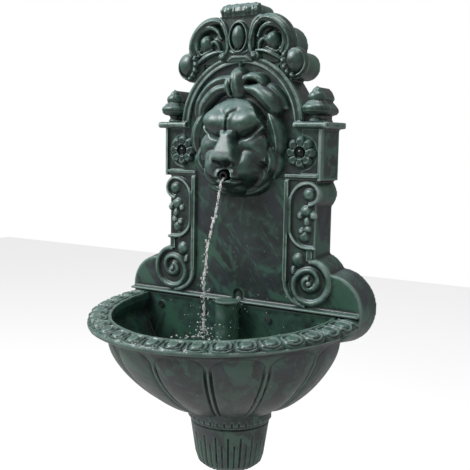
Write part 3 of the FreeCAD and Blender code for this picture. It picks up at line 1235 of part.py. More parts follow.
for obj in doc.Objects:
    if "Invalid" in obj.State or "Error" in obj.State:
        raise RuntimeError(f"{obj.Label} did not come out: {obj.State}")
for piece in NODES:
    if piece.Shape.isNull() or not piece.Shape.isValid() or not piece.Shape.Solids:
        raise RuntimeError(f"{piece.Label} is not a valid solid")

os.makedirs("parts", exist_ok=True)
for piece in NODES:
    piece.Shape.exportStep(f"parts/{piece.Label}.step")
    print(piece.Label, len(piece.Shape.Solids), "solids", round(piece.Shape.Volume / 1000, 1), "cm3")
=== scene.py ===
import math

import bpy
import numpy as np
from bpy.props import FloatProperty, FloatVectorProperty, IntProperty, PointerProperty
from mathutils import Matrix, Vector


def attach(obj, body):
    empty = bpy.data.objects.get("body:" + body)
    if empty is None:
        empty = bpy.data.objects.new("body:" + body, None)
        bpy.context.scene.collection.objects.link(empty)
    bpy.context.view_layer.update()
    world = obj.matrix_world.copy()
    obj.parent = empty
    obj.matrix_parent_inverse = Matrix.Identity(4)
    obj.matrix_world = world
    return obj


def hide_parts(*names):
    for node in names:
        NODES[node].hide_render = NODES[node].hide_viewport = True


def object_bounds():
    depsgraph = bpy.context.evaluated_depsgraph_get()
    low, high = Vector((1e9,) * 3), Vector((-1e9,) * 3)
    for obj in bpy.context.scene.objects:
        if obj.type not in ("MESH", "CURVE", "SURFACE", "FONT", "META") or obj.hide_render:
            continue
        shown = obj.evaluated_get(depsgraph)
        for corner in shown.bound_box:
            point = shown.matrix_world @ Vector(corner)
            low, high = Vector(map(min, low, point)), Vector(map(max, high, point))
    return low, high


bl_info = {
    "name": "Garden wall fountain",
    "version": (1, 0, 0),
    "blender": (4, 5, 0),
    "location": "View3D > Sidebar > Fountain",
    "description": "Dresses the wall fountain's frame with its castings, finishes, water and studio",
    "category": "Object",
}

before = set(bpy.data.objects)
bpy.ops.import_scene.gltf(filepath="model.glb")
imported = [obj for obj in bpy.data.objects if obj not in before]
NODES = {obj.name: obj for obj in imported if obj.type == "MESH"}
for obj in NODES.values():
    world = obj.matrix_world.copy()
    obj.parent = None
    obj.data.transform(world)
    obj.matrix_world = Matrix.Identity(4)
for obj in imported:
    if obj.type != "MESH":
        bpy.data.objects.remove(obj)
CAD_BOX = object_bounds()
MM = 0.001
RELIEF_BACK = 46      # front of the panel's field, mm out from the wall
FLOOR_DROP = 300      # how far below the drum the floor is, mm


def paint(code):
    """The linear colour of an sRGB hex code."""
    parts = [int(code[i:i + 2], 16) / 255 for i in (1, 3, 5)]
    return tuple(p / 12.92 if p <= 0.04045 else ((p + 0.055) / 1.055) ** 2.4 for p in parts) + (1.0,)


# Shader nodes

def add(tree, kind, inputs=None, **properties):
    """One shader node. An input that is a socket is linked, and any other value is set."""
    made = tree.nodes.new("ShaderNode" + kind)
    for name, value in properties.items():
        setattr(made, name, value)
    for name, value in (inputs or {}).items():
        if isinstance(value, bpy.types.NodeSocket):
            tree.links.new(value, made.inputs[name])
        else:
            made.inputs[name].default_value = value
    return made


def sums(tree, operation, *values):
    """A Math node's result."""
    return add(tree, "Math", dict(enumerate(values)), operation=operation).outputs[0]


def blend(tree, share, low, high):
    """One colour over another by share."""
    mix = add(tree, "Mix", {0: share, 6: low, 7: high}, data_type="RGBA")
    return mix.outputs[2]


def step(tree, value, low, high):
    """0 below low, 1 above high, and smooth between."""
    return add(tree, "MapRange", {0: value, 1: low, 2: high}, interpolation_type="SMOOTHSTEP").outputs[0]


def noise(tree, where, size, detail=3.0, rough=0.55, distortion=0.0):
    """Noise whose blotches are size mm across."""
    return add(tree, "TexNoise", {"Vector": where, "Scale": 1 / (size * MM), "Detail": detail,
                                  "Roughness": rough, "Distortion": distortion}).outputs["Fac"]


def new_material(name):
    """A material, its node tree and its shader."""
    material = bpy.data.materials.new(name)
    material.use_nodes = True
    tree = material.node_tree
    return material, tree, tree.nodes["Principled BSDF"]


def join(tree, shader, **inputs):
    """Sets or links the shader's own inputs; an underscore in a name stands for a space."""
    for name, value in inputs.items():
        socket = shader.inputs[name.replace("_", " ")]
        if isinstance(value, bpy.types.NodeSocket):
            tree.links.new(value, socket)
        else:
            socket.default_value = value


STREAK_TURN = 52                    # degrees that the wiped streaks are turned in the plane of the wall
CROSS_TURN = 118                    # the same for the streaks that cross them
PAINTED_SHEEN_SIDE = (-0.38, -0.50, 0.78)    # the way that the faces with the palest painted sheen look, towards the key lamp


def patina(name, look, veins, pale):
    """Cast resin painted as old bronze: black-green in the hollows, teal on the faces and worn pale on the
    edges, with painted highlights on the edges and the forms that stand out, a painted sheen on the faces
    turned to the key lamp, and painted shade in the hollows and under the forms. veins is how much the
    marbled streaks show, and pale how much the edges are worn and highlit and the faces lit."""
    material, tree, shader = new_material(name)
    place = add(tree, "TexCoord").outputs["Object"]
    wear_and_shading = add(tree, "Attribute", attribute_name="wear_and_shading").outputs["Fac"]
    # Broad clouds of green over the dark base coat
    cloud = noise(tree, place, 70, 5, 0.62, 0.6)
    mottle = noise(tree, place, 14, 4, 0.6)
    grain = noise(tree, place, 1.6, 2, 0.5)
    base = blend(tree, step(tree, cloud, 0.40, 0.62), look.ground, look.coat)
    base = blend(tree, sums(tree, "MULTIPLY", step(tree, mottle, 0.52, 0.72), 0.55), base, look.teal)
    # Streaks that run down to the right, as wiped on with a broad brush, with some that cross them
    slant = add(tree, "Mapping", {"Vector": place, "Rotation": (0, math.radians(STREAK_TURN), 0),
                                  "Scale": (3.6, 1, 1)}, vector_type="TEXTURE").outputs[0]
    crossing = add(tree, "Mapping", {"Vector": place, "Rotation": (0, math.radians(CROSS_TURN), 0),
                                     "Scale": (3.0, 1, 1)}, vector_type="TEXTURE").outputs[0]
    plum = sums(tree, "MULTIPLY", step(tree, noise(tree, slant, 60, 4, 0.6, 0.8), 0.42, 0.60), 0.85 * veins)
    base = blend(tree, plum, base, look.plum)
    for course, size, low in ((slant, 34, 0.53), (crossing, 44, 0.58)):
        streak = step(tree, noise(tree, course, size, 5, 0.62, 1.0), low - 0.02, low + 0.06)
        base = blend(tree, sums(tree, "MULTIPLY", streak, 0.85 * veins), base, look.teal)
    # Worn pale edges, partly painted highlight; teal on the forms that stand out, partly painted light; dark
    # hollows, partly the dark coat and partly painted shade; all broken up by the mottle
    broken = sums(tree, "MULTIPLY_ADD", sums(tree, "SUBTRACT", mottle, 0.5), 1.0, wear_and_shading)
    raised_and_lit = step(tree, broken, -0.02, 0.50)
    base = blend(tree, sums(tree, "MULTIPLY", raised_and_lit, 0.75), base, look.teal)
    edge = sums(tree, "MULTIPLY", step(tree, broken, 0.42, 1.05), pale)
    base = blend(tree, edge, base, look.rubbed_and_lit)
    hollow_and_shade = step(tree, sums(tree, "MULTIPLY", wear_and_shading, -1.0), 0.08, 0.75)
    base = blend(tree, sums(tree, "MULTIPLY", hollow_and_shade, 0.9), base, look.hollow_and_shade)
    # Painted sheen: faces turned up and towards the key lamp are painted pale, as if lit, broken up by the
    # mottle
    normal = add(tree, "NewGeometry").outputs["Normal"]
    facing = add(tree, "VectorMath", {0: normal, 1: PAINTED_SHEEN_SIDE}, operation="DOT_PRODUCT").outputs["Value"]
    painted_sheen_share = sums(tree, "MULTIPLY", step(tree, facing, 0.48, 0.92), step(tree, mottle, 0.06, 0.56))
    base = blend(tree, sums(tree, "MULTIPLY", painted_sheen_share, 0.85 * pale), base, look.painted_sheen)
    # Painted shade: faces that look down are darkened
    under = add(tree, "SeparateXYZ", {0: normal}).outputs["Z"]
    under = step(tree, sums(tree, "MULTIPLY", under, -1.0), 0.12, 0.75)
    base = blend(tree, sums(tree, "MULTIPLY", under, 0.62), base, look.hollow_and_shade)
    # Flecks of bare pale primer
    cells = add(tree, "TexVoronoi", {"Vector": place, "Scale": 1 / (11 * MM), "Randomness": 1.0})
    fleck = sums(tree, "LESS_THAN", cells.outputs["Distance"], 0.085)
    sparse = step(tree, noise(tree, place, 45, 2), 0.5, 0.6)
    fleck = sums(tree, "MULTIPLY", sums(tree, "MULTIPLY", fleck, sparse), 0.30 + 0.4 * veins)
    base = blend(tree, fleck, base, look.rubbed_and_lit)
    rough = sums(tree, "MULTIPLY_ADD", mottle, 0.34, 0.16)
    height = sums(tree, "ADD", sums(tree, "MULTIPLY", mottle, 0.7), sums(tree, "MULTIPLY", grain, 0.35))
    bump = add(tree, "Bump", {"Strength": 0.35, "Distance": 0.0012, "Height": height}).outputs[0]
    join(tree, shader, Base_Color=base, Roughness=rough, IOR=1.5, Specular_IOR_Level=0.9, Normal=bump)
    return material


def moulded(name, colour, rough, metal=0.0, grain=0.8, depth=0.0002, spread=0.12):
    """A plain stock material: a little unevenness in its colour, gloss and surface."""
    material, tree, shader = new_material(name)
    place = add(tree, "TexCoord").outputs["Object"]
    fine = noise(tree, place, grain, 3)
    broad = noise(tree, place, 18, 3)
    dark = tuple(c * (1 - spread * 2) for c in colour[:3]) + (1,)
    light = tuple(min(1, c * (1 + spread)) for c in colour[:3]) + (1,)
    bump = add(tree, "Bump", {"Strength": 0.3, "Distance": depth, "Height": fine}).outputs[0]
    join(tree, shader, Base_Color=blend(tree, broad, dark, light), Metallic=metal, IOR=1.5, Normal=bump,
         Roughness=sums(tree, "MULTIPLY_ADD", broad, 0.16, rough - 0.08))
    return material


def clear_pvc(name, colour):
    """Soft clear PVC of the hose."""
    material, tree, shader = new_material(name)
    place = add(tree, "TexCoord").outputs["Object"]
    haze = noise(tree, place, 6, 3)
    join(tree, shader, Base_Color=blend(tree, haze, colour, paint("#93a5a0")), IOR=1.53,
         Transmission_Weight=0.15, Roughness=sums(tree, "MULTIPLY_ADD", haze, 0.1, 0.18))
    return material


def water(name, colour, milky_and_glint, ripple):
    """Water, white partly for the air in it and partly as painted glints of light on it."""
    material, tree, shader = new_material(name)
    place = add(tree, "TexCoord").outputs["Object"]
    wave = noise(tree, place, ripple, 3, 0.5, 0.4)
    bump = add(tree, "Bump", {"Strength": 0.4, "Distance": 0.002, "Height": wave}).outputs[0]
    join(tree, shader, Base_Color=colour, IOR=1.333, Transmission_Weight=1 - milky_and_glint, Roughness=0.04,
         Normal=bump)
    return material


# Modelling

def deselect():
    """Leaves edit mode, with nothing selected."""
    if bpy.context.object and bpy.context.object.mode != "OBJECT":
        bpy.ops.object.mode_set(mode="OBJECT")
    bpy.ops.object.select_all(action="DESELECT")


def choose(*objects):
    """Selects the objects alone, the first one active."""
    deselect()
    for o in objects:
        o.select_set(True)
    bpy.context.view_layer.objects.active = objects[0]


def ball(x, y, z, rx, ry, rz):
    """An egg-shaped lump, in mm."""
    deselect()
    bpy.ops.mesh.primitive_uv_sphere_add(segments=20, ring_count=12, radius=1,
                                         location=(x * MM, y * MM, z * MM),
                                         scale=(rx * MM, ry * MM, rz * MM))
    return bpy.context.object


def stroke(points, rings=10):
    """A tapered roll along (x, y, z, radius) points, in mm."""
    deselect()
    bpy.ops.curve.primitive_nurbs_path_add()
    line = bpy.context.object
    spline = line.data.splines[0]
    if len(spline.points) < len(points):
        spline.points.add(len(points) - len(spline.points))
    if len(spline.points) > len(points):
        line.data.splines.clear()
        spline = line.data.splines.new("NURBS")
        spline.points.add(len(points) - 1)
    for knot, (x, y, z, radius) in zip(spline.points, points):
        knot.co = (x * MM, y * MM, z * MM, 1)
        knot.radius = radius
    spline.order_u = 3
    spline.use_endpoint_u = True
    line.data.dimensions = "3D"
    line.data.resolution_u = rings
    line.data.bevel_depth = MM
    line.data.bevel_resolution = 4
    line.data.use_fill_caps = True
    choose(line)
    bpy.ops.object.convert(target="MESH")
    return bpy.context.object


def get_points(o):
    """A mesh's points, a row each."""
    places = np.empty(len(o.data.vertices) * 3)
    o.data.vertices.foreach_get("co", places)
    return places.reshape(-1, 3)


def set_points(o, places):
    """Moves a mesh's points."""
    o.data.vertices.foreach_set("co", places.astype(np.float32).ravel())
    o.data.update()


def get_normals(o):
    """The way the surface faces at each point."""
    normals = np.empty(len(o.data.vertices) * 3)
    o.data.vertices.foreach_get("normal", normals)
    return normals.reshape(-1, 3)


def cad_copy(*names):
    """Merged copies of CAD nodes, to be remodelled."""
    made = []
    for name in names:
        o = bpy.data.objects.new(name + "_copy", NODES[name].data.copy())
        bpy.context.collection.objects.link(o)
        choose(o)
        bpy.ops.mesh.customdata_custom_splitnormals_clear()
        bpy.ops.object.mode_set(mode="EDIT")
        bpy.ops.mesh.select_all(action="SELECT")
        bpy.ops.mesh.remove_doubles(threshold=0.00001)
        bpy.ops.object.mode_set(mode="OBJECT")
        made.append(o)
    return made


def finish_with(o, kind, **settings):
    """Adds a modifier and applies it."""
    choose(o)
    modifier = o.modifiers.new(kind.title(), kind)
    for name, value in settings.items():
        setattr(modifier, name, value)
    bpy.ops.object.modifier_apply(modifier=modifier.name)


def melt(name, parts, voxel, rounds):
    """Melts closed parts into one skin of voxel mm, as a casting has no seams between its forms."""
    choose(*parts)
    if len(parts) > 1:
        bpy.ops.object.join()
    piece = bpy.context.object
    bpy.ops.object.transform_apply(location=True, rotation=True, scale=True)
    piece.name = piece.data.name = name
    piece.data.materials.clear()
    finish_with(piece, "REMESH", mode="VOXEL", voxel_size=voxel * MM, adaptivity=0)
    finish_with(piece, "SMOOTH", factor=0.5, iterations=rounds)
    return piece


def cut_flat(o):
    """Cuts a casting flat where it lies on the panel."""
    choose(o)
    bpy.ops.object.mode_set(mode="EDIT")
    bpy.ops.mesh.select_all(action="SELECT")
    bpy.ops.mesh.bisect(plane_co=(0, -RELIEF_BACK * MM, 0), plane_no=(0, 1, 0), use_fill=True,
                        clear_outer=True)
    bpy.ops.object.mode_set(mode="OBJECT")


def thin(o, faces):
    """Brings a mesh down to about that many triangles."""
    count = sum(len(p.vertices) - 2 for p in o.data.polygons)
    if count > faces:
        finish_with(o, "DECIMATE", decimate_type="COLLAPSE", ratio=faces / count)


EDGE_REACH = 0.35     # mm that an edge stands proud where its worn paint and painted highlight count in full


def smoothed(o, places, rounds):
    """Where the points go when each moves to the middle of its neighbours, again and again."""
    ends = np.empty(len(o.data.edges) * 2, dtype=np.int64)
    o.data.edges.foreach_get("vertices", ends)
    a, b = ends[0::2], ends[1::2]
    count = np.bincount(a, minlength=len(places)) + np.bincount(b, minlength=len(places))
    count = np.maximum(count, 1)
    for _ in range(rounds):
        size = len(places)
        total = np.stack([np.bincount(a, places[b, i], size) + np.bincount(b, places[a, i], size)
                          for i in range(3)], 1)
        places = 0.35 * places + 0.65 * total / count[:, None]
    return places


def mark_wear_and_shading(o, near=6, far=40, wide=1.6, lift=0.0):
    """Writes how far each point stands proud of, or lies below, its surroundings, for the patina, its worn
    edges and its painted highlights and shade. near and far are rounds of smoothing, wide the mm of relief
    that count in full, and lift is added everywhere, which paints a whole piece lighter or darker as painted
    light or shade."""
    places = get_points(o)
    normals = get_normals(o)
    close = smoothed(o, places, near)
    broad = smoothed(o, close, far)
    edge = ((places - close) * normals).sum(1) / (EDGE_REACH * MM)
    body = ((close - broad) * normals).sum(1) / (wide * MM)
    wear_and_shading = np.clip(edge * 0.6 + body * 0.6, -1.5, 1.5)
    made = o.data.attributes.new("wear_and_shading", "FLOAT", "POINT")
    made.data.foreach_set("value", (wear_and_shading + lift).astype(np.float32))


def dress(o, material, slot, *nodes, body="root", angle=50):
    """Gives a finished piece its material, its body and the CAD nodes it stands for."""
    choose(o)
    if angle is None:
        bpy.ops.object.shade_smooth()
    else:
        bpy.ops.object.shade_smooth_by_angle(angle=math.radians(angle))
    o.data.materials.clear()
    o.data.materials.append(material)
    if nodes:
        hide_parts(*nodes)
    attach(o, body)
    deselect()


class FountainFinish(bpy.types.PropertyGroup):
    """Colours of the aged bronze paint, some of which serve as painted light and shade."""
    ground: FloatVectorProperty(name="Ground", description="Near-black green base coat", size=4,
                                subtype="COLOR", default=paint("#202b29"))
    coat: FloatVectorProperty(name="Coat", description="Dark green of the faces", size=4,
                              subtype="COLOR", default=paint("#2f433c"))
    teal: FloatVectorProperty(name="Teal", description="Green wiped over the faces", size=4,
                              subtype="COLOR", default=paint("#45705f"))
    plum: FloatVectorProperty(name="Plum", description="Dark grey-brown between the streaks", size=4,
                              subtype="COLOR", default=paint("#3a3f47"))
    # Pale colour of worn edges and primer flecks, also used as painted highlight on the edges
    rubbed_and_lit: FloatVectorProperty(name="Rubbed", description="Pale grey-green of rubbed edges", size=4,
                                subtype="COLOR", default=paint("#a9c0b8"))
    # Painted sheen: the pale colour painted on faces turned to the key lamp, as if lit
    painted_sheen: FloatVectorProperty(name="Wash", description="Pale blue-green wash on the upper faces", size=4,
                              subtype="COLOR", default=paint("#86a3a0"))
    # Black-green left in the hollows, also used as painted shade in the hollows and under the forms
    hollow_and_shade: FloatVectorProperty(name="Hollow", description="Black-green left in the hollows", size=4,
                                subtype="COLOR", default=paint("#0b110e"))


class FountainSizes(bpy.types.PropertyGroup):
    """Sizes of the cast ornament that a user would change."""
    eggs: IntProperty(name="Eggs", description="Number of eggs round the rim", default=20, min=10, max=32)
    lobes: IntProperty(name="Lobes", description="Number of lobes round the bowl", default=7, min=3, max=21)
    egg_height: FloatProperty(name="Egg height", description="How far an egg stands proud of the rim",
                              default=0.0026, unit="LENGTH")
    lobe_height: FloatProperty(name="Lobe height", description="How far a lobe swells out of the bowl",
                               default=0.0035, unit="LENGTH")
    water_drop: FloatProperty(name="Water drop", default=0.285, unit="LENGTH",
                              description="How far below the keyholes the falling water ends")


class FountainStudio(bpy.types.PropertyGroup):
    """Light and camera."""
    key: FloatProperty(name="Key", description="Power of the large lamp up on the left", default=34.0,
                       unit="POWER")
    fill: FloatProperty(name="Fill", description="Brightness of the air around", default=0.26)
    floor_glow: FloatProperty(name="Floor glow", default=0.6,
                              description="White added to the floor where the camera sees it")
    lens: FloatProperty(name="Lens", description="Focal length in mm on a 36 mm sensor", default=57.68)


FINISHES = {}


def finishes():
    """The materials, made once."""
    if FINISHES:
        return FINISHES
    look = bpy.context.scene.fountain_finish
    FINISHES.update({
        "aged_resin": patina("Aged_bronze_paint_on_resin_field", look, 1.0, 0.40),
        "verdigris_resin": patina("Aged_bronze_paint_on_resin_relief", look, 0.25, 1.0),
        "rosette_boss": moulded("Blackened_painted_screw_head", paint("#1a2021"), 0.22),
        "dark_plastic": moulded("Black_ABS_plastic", paint("#1c1f20"), 0.45),
        "hose_pvc": clear_pvc("Clear_PVC_hose", paint("#6d7f7a")),
        "steel": moulded("Zinc_plated_steel", paint("#b9bcc0"), 0.3, metal=1.0, grain=0.4, spread=0.06),
        "rubber": moulded("Nitrile_rubber", paint("#232425"), 0.75, grain=0.5),
        "filter_foam": moulded("Open_cell_filter_foam", paint("#2b3036"), 0.95, grain=1.2, depth=0.0012),
        "rotor_magnet": moulded("Ferrite_magnet", paint("#3b3a3d"), 0.5, grain=0.6),
        "ceramic": moulded("White_ceramic", paint("#e9e6df"), 0.2, grain=0.5, spread=0.03),
        "stream": water("Falling_water_with_air", paint("#ffffff"), 0.55, 5),
    })
    return FINISHES


# Which finish each node that keeps its own mesh takes
KEPT = {
    "steel": ("mask_screws", "hose_clamps", "basin_bolts", "basin_washers", "basin_wing_nuts", "drum_screws",
              "hanger_plates", "hanger_screws"),
    "dark_plastic": ("spout_nozzle", "spout_locknut", "spout_elbow", "pump_housing", "pump_cover",
                     "pump_strainer", "flow_dial", "pump_gland", "stator_potting"),
    "rubber": ("seam_seal", "sump_gasket", "housing_seal", "suction_cups", "cable_grommet"),
    "hose_pvc": ("supply_hose",),
    "rosette_boss": ("rosette_screws",),
    "rotor_magnet": ("impeller_rotor",),
    "ceramic": ("rotor_shaft", "shaft_bushes"),
}


CAMERA_PLACE = (629.2, -1090.5, 8.6)    # mm
CAMERA_TURN, CAMERA_DOWN, CAMERA_ROLL = 31.04, 7.03, 1.02    # degrees
CAMERA_SENSOR = 36                      # mm
PHOTO_SIDE = 470                        # pixels
PHOTO_SHIFT = 4                         # pixels that the picture's middle lies right of and below the lens's
KEY_PLACE, KEY_SIZE, KEY_AIM = (-1.2, -1.3, 1.5), 1.1, (0, 0, -0.1)      # m
TOP_PLACE, TOP_SIZE, TOP_SHARE = (0.3, -0.1, 1.6), 0.7, 0.22             # m, and a share of the key's power


class FOUNTAIN_OT_stage(bpy.types.Operator):
    """Makes the floor, the light and the photograph's camera"""
    bl_idname = "fountain.stage"
    bl_label = "Studio"

    def execute(self, context):
        studio = context.scene.fountain_studio
        low = CAD_BOX[0]
        deselect()
        bpy.ops.mesh.primitive_grid_add(x_subdivisions=2, y_subdivisions=2, size=9,
                                        location=(0, -1, low.z - FLOOR_DROP * MM))
        floor = context.object
        floor.name = "floor"
        material, tree, shader = new_material("Pale_studio_floor")
        place = add(tree, "TexCoord").outputs["Object"]
        cloud = noise(tree, place, 900, 2)
        path = add(tree, "LightPath")
        glow = sums(tree, "MULTIPLY", path.outputs["Is Camera Ray"], studio.floor_glow)
        white = (1, 1, 1, 1)
        join(tree, shader, Base_Color=blend(tree, cloud, paint("#e9e9e9"), paint("#efefef")), Roughness=0.9,
             Emission_Color=white, Emission_Strength=glow)
        floor.data.materials.append(material)

        def lamp(name, power, size, place, aim):
            bpy.ops.object.light_add(type="AREA", location=place)
            made = bpy.context.object
            made.name = name
            made.data.energy, made.data.size = power, size
            made.rotation_euler = (Vector(aim) - Vector(place)).to_track_quat("-Z", "Y").to_euler()

        lamp("key", studio.key, KEY_SIZE, KEY_PLACE, KEY_AIM)
        lamp("top", studio.key * TOP_SHARE, TOP_SIZE, TOP_PLACE, (0, 0, 0))
        world = bpy.data.worlds.new("Studio")
        context.scene.world = world
        world.use_nodes = True
        tree = world.node_tree
        tree.nodes.clear()
        path = add(tree, "LightPath")
        seen = sums(tree, "MAXIMUM", path.outputs["Is Camera Ray"], path.outputs["Is Transmission Ray"])
        air = add(tree, "Background", {"Color": white, "Strength": studio.fill})
        backdrop = add(tree, "Background", {"Color": white, "Strength": 1.0})
        mixed = add(tree, "MixShader", {0: seen, 1: air.outputs[0], 2: backdrop.outputs[0]})
        add(tree, "OutputWorld", {"Surface": mixed.outputs[0]})

        bpy.ops.object.camera_add()
        camera = context.object
        camera.name = "photo_camera"
        turn = Matrix.Rotation(math.radians(CAMERA_TURN), 4, "Z")
        turn = turn @ Matrix.Rotation(math.radians(90 - CAMERA_DOWN), 4, "X")
        turn = turn @ Matrix.Rotation(math.radians(CAMERA_ROLL), 4, "Z")
        camera.matrix_world = Matrix.Translation(Vector(CAMERA_PLACE) * MM) @ turn
        camera.data.lens = studio.lens
        camera.data.sensor_width = CAMERA_SENSOR
        camera.data.shift_x, camera.data.shift_y = -PHOTO_SHIFT / PHOTO_SIDE, PHOTO_SHIFT / PHOTO_SIDE
        camera.data.clip_start, camera.data.clip_end = 0.05, 40
        context.scene.camera = camera
        context.scene.view_settings.view_transform = "Standard"
        deselect()
        return {"FINISHED"}


class FOUNTAIN_OT_panel(bpy.types.Operator):
    """Casts the back panel with softened edges"""
    bl_idname = "fountain.panel"
    bl_label = "Back panel"

    def execute(self, context):
        # A thin web closes the notch round the hose, so that no light shows through it from behind. The
        # solid's notch is open
        web = ball(0, -41, -240, 11, 2.4, 32)
        panel = melt("panel_casting", cad_copy("back_panel") + [web], 1.8, 4)
        mark_wear_and_shading(panel, near=5, far=30)
        thin(panel, 180000)
        dress(panel, finishes()["aged_resin"], "aged_resin", "back_panel")
        return {"FINISHED"}


class FOUNTAIN_OT_mouldings(bpy.types.Operator):
    """Casts the arch moulding and the two side scrolls"""
    bl_idname = "fountain.mouldings"
    bl_label = "Mouldings"

    def execute(self, context):
        relief = finishes()["verdigris_resin"]
        arch = melt("arch_casting", cad_copy("arch_moulding"), 1.1, 3)
        mark_wear_and_shading(arch)
        thin(arch, 120000)
        dress(arch, relief, "verdigris_resin", "arch_moulding")
        for name in ("right", "left"):
            parts = cad_copy("side_scroll_" + name)
            scroll = melt(f"side_scroll_{name}_casting", parts, 1.1, 2)
            mark_wear_and_shading(scroll)
            thin(scroll, 160000)
            dress(scroll, relief, "verdigris_resin", "side_scroll_" + name)
        return {"FINISHED"}


# Relief: ornament as a height over the wall at each (x, z), in mm, then cast as one skin

def trail(points, steps=8):
    """A smooth path through the points, every column interpolated."""
    knots = np.array([points[0], *points, points[-1]], dtype=float)
    share = np.linspace(0, 1, steps, endpoint=False)[:, None]
    parts = []
    for a, b, c, d in zip(knots, knots[1:], knots[2:], knots[3:]):
        parts.append(0.5 * (2 * b + (c - a) * share + (2 * a - 5 * b + 4 * c - d) * share ** 2
                            + (3 * b - a - 3 * c + d) * share ** 3))
    return np.vstack(parts + [knots[-1:]])


def dome(away, soft):
    """A round top that falls to 0 where away, a distance squared, is 1, and slopes on down past it."""
    return np.clip(1 - away, 0, 1) ** soft - 1.5 * np.clip(np.sqrt(away) - 1, 0, 3)


def lump(x, z, cx, cz, rx, rz, foot, front, tilt=0.0, soft=0.5):
    """Height of an egg-shaped lump. A smaller soft gives it a flatter top and a steeper side."""
    cos, sin = math.cos(math.radians(tilt)), math.sin(math.radians(tilt))
    u, v = (x - cx) * cos + (z - cz) * sin, (z - cz) * cos - (x - cx) * sin
    away = (u / rx) ** 2 + (v / rz) ** 2
    return foot + (front - foot) * dome(away, soft)


def roll(x, z, points, foot, cuts=(), soft=0.5, dig=1.6, steps=8):
    """Height of a roll along (x, z, half width, front) points, with grooves along it at the cuts, which are
    shares of its half width to its left."""
    path = trail(points, steps)
    ahead = np.gradient(path[:, :2], axis=0)
    ahead /= np.maximum(np.linalg.norm(ahead, axis=1), 1e-6)[:, None]
    best = np.full(x.shape, -200.0)
    groove = np.zeros(x.shape)
    for (px, pz, wide, front), (dx, dz) in zip(path, ahead):
        away = ((x - px) ** 2 + (z - pz) ** 2) / wide ** 2
        near = away < 4
        lift = (front - foot) * dome(away[near], soft)
        best[near] = np.maximum(best[near], foot + lift)
        for cut in cuts:
            gap = (x[near] - px + dz * cut * wide) ** 2 + (z[near] - pz - dx * cut * wide) ** 2
            dent = np.exp(-gap / (0.19 * wide) ** 2 / 1.2) * min(1, wide / 5)
            groove[near] = np.maximum(groove[near], dent)
    return best - dig * groove


def press(x, z, points, wide):
    """A soft groove along (x, z, depth) points, to be taken off a height."""
    depth = np.zeros(x.shape)
    for px, pz, deep in trail(points):
        depth = np.maximum(depth, deep * np.exp(-((x - px) ** 2 + (z - pz) ** 2) / wide ** 2))
    return depth


def blended(heights, soft):
    """The highest of several heights, with soft mm of rounding where they meet."""
    top = np.maximum.reduce(heights)
    return top + soft * np.log(sum(np.exp(np.clip((h - top) / soft, -30, 0)) for h in heights))


def ease(value, low, high):
    """0 below low, 1 above high, and smooth between."""
    share = np.clip((value - low) / (high - low), 0, 1)
    return share * share * (3 - 2 * share)


LEAST_RELIEF = 0.4    # height over the field, mm, below which there is no casting
SUNK_SHEET = 4        # how far behind the field the sheet lies there
SUNK_FOOT = 8         # how far behind the field the block ends, before it is cut flat


def emboss(name, height, x_range, z_range, pitch, voxel, extra=()):
    """Casts a height function, taken every pitch mm, as a closed piece that lies flat on the panel."""
    (x0, x1), (z0, z1) = x_range, z_range
    columns, rows = int((x1 - x0) / pitch), int((z1 - z0) / pitch)
    deselect()
    bpy.ops.mesh.primitive_grid_add(x_subdivisions=columns, y_subdivisions=rows, size=2)
    sheet = bpy.context.object
    flat = get_points(sheet)
    x = x0 + (flat[:, 0] + 1) / 2 * (x1 - x0)
    z = z0 + (flat[:, 1] + 1) / 2 * (z1 - z0)
    out = height(x, z)
    out = np.where(out < RELIEF_BACK + LEAST_RELIEF, RELIEF_BACK - SUNK_SHEET, out)
    set_points(sheet, np.stack([x, -out, z], 1) * MM)
    count = len(sheet.data.vertices)
    bpy.ops.object.mode_set(mode="EDIT")
    bpy.ops.mesh.select_all(action="SELECT")
    bpy.ops.mesh.extrude_region_move()
    bpy.ops.object.mode_set(mode="OBJECT")
    places = get_points(sheet)
    places[count:, 1] = -(RELIEF_BACK - SUNK_FOOT) * MM
    set_points(sheet, places)
    bpy.ops.object.mode_set(mode="EDIT")
    bpy.ops.mesh.select_all(action="SELECT")
    bpy.ops.mesh.normals_make_consistent(inside=False)
    bpy.ops.object.mode_set(mode="OBJECT")
    piece = melt(name, [sheet, *extra], voxel, 2)
    cut_flat(piece)
    return piece


def rosette_height(x, z):
    """A flower of eight merged petals round a sunk ring, about the origin."""
    away, turn = np.hypot(x, z), np.arctan2(z, x)
    petal = np.abs(np.cos(turn * 4))
    edge = 20.2 + 5.6 * petal ** 0.8
    out = 49 + 5.2 * (1 - np.clip(away / edge, 0, 1) ** 5) ** 0.5
    out += 1.2 * np.exp(-((away - edge * 0.80) / 2.2) ** 2)
    out -= 2.6 * np.exp(-(petal * away * 0.24) ** 2) * ease(away, 9, 13)
    out = np.where(away > edge, 20, out)
    return out - 5.5 * (1 - ease(away, 8.2, 10.2))


ROSETTE_X = 110             # middle of a rosette, mm from the middle of the fountain
ROSETTE_HALF = 28           # half the side of the square that a rosette is worked out over
FINIAL_X, FINIAL_OUT, FINIAL_SEAT = 131.7, 43, 47     # a finial's axis and its foot, mm
# The turned forms of a finial: height of the middle over its foot, radius and half height
FINIAL_FORMS = ((2, 11, 4), (9, 8.6, 8), (21, 22.4, 9.5), (26, 17.5, 8), (37, 13.8, 10.5), (43, 8.5, 9),
                (48, 3.6, 6))


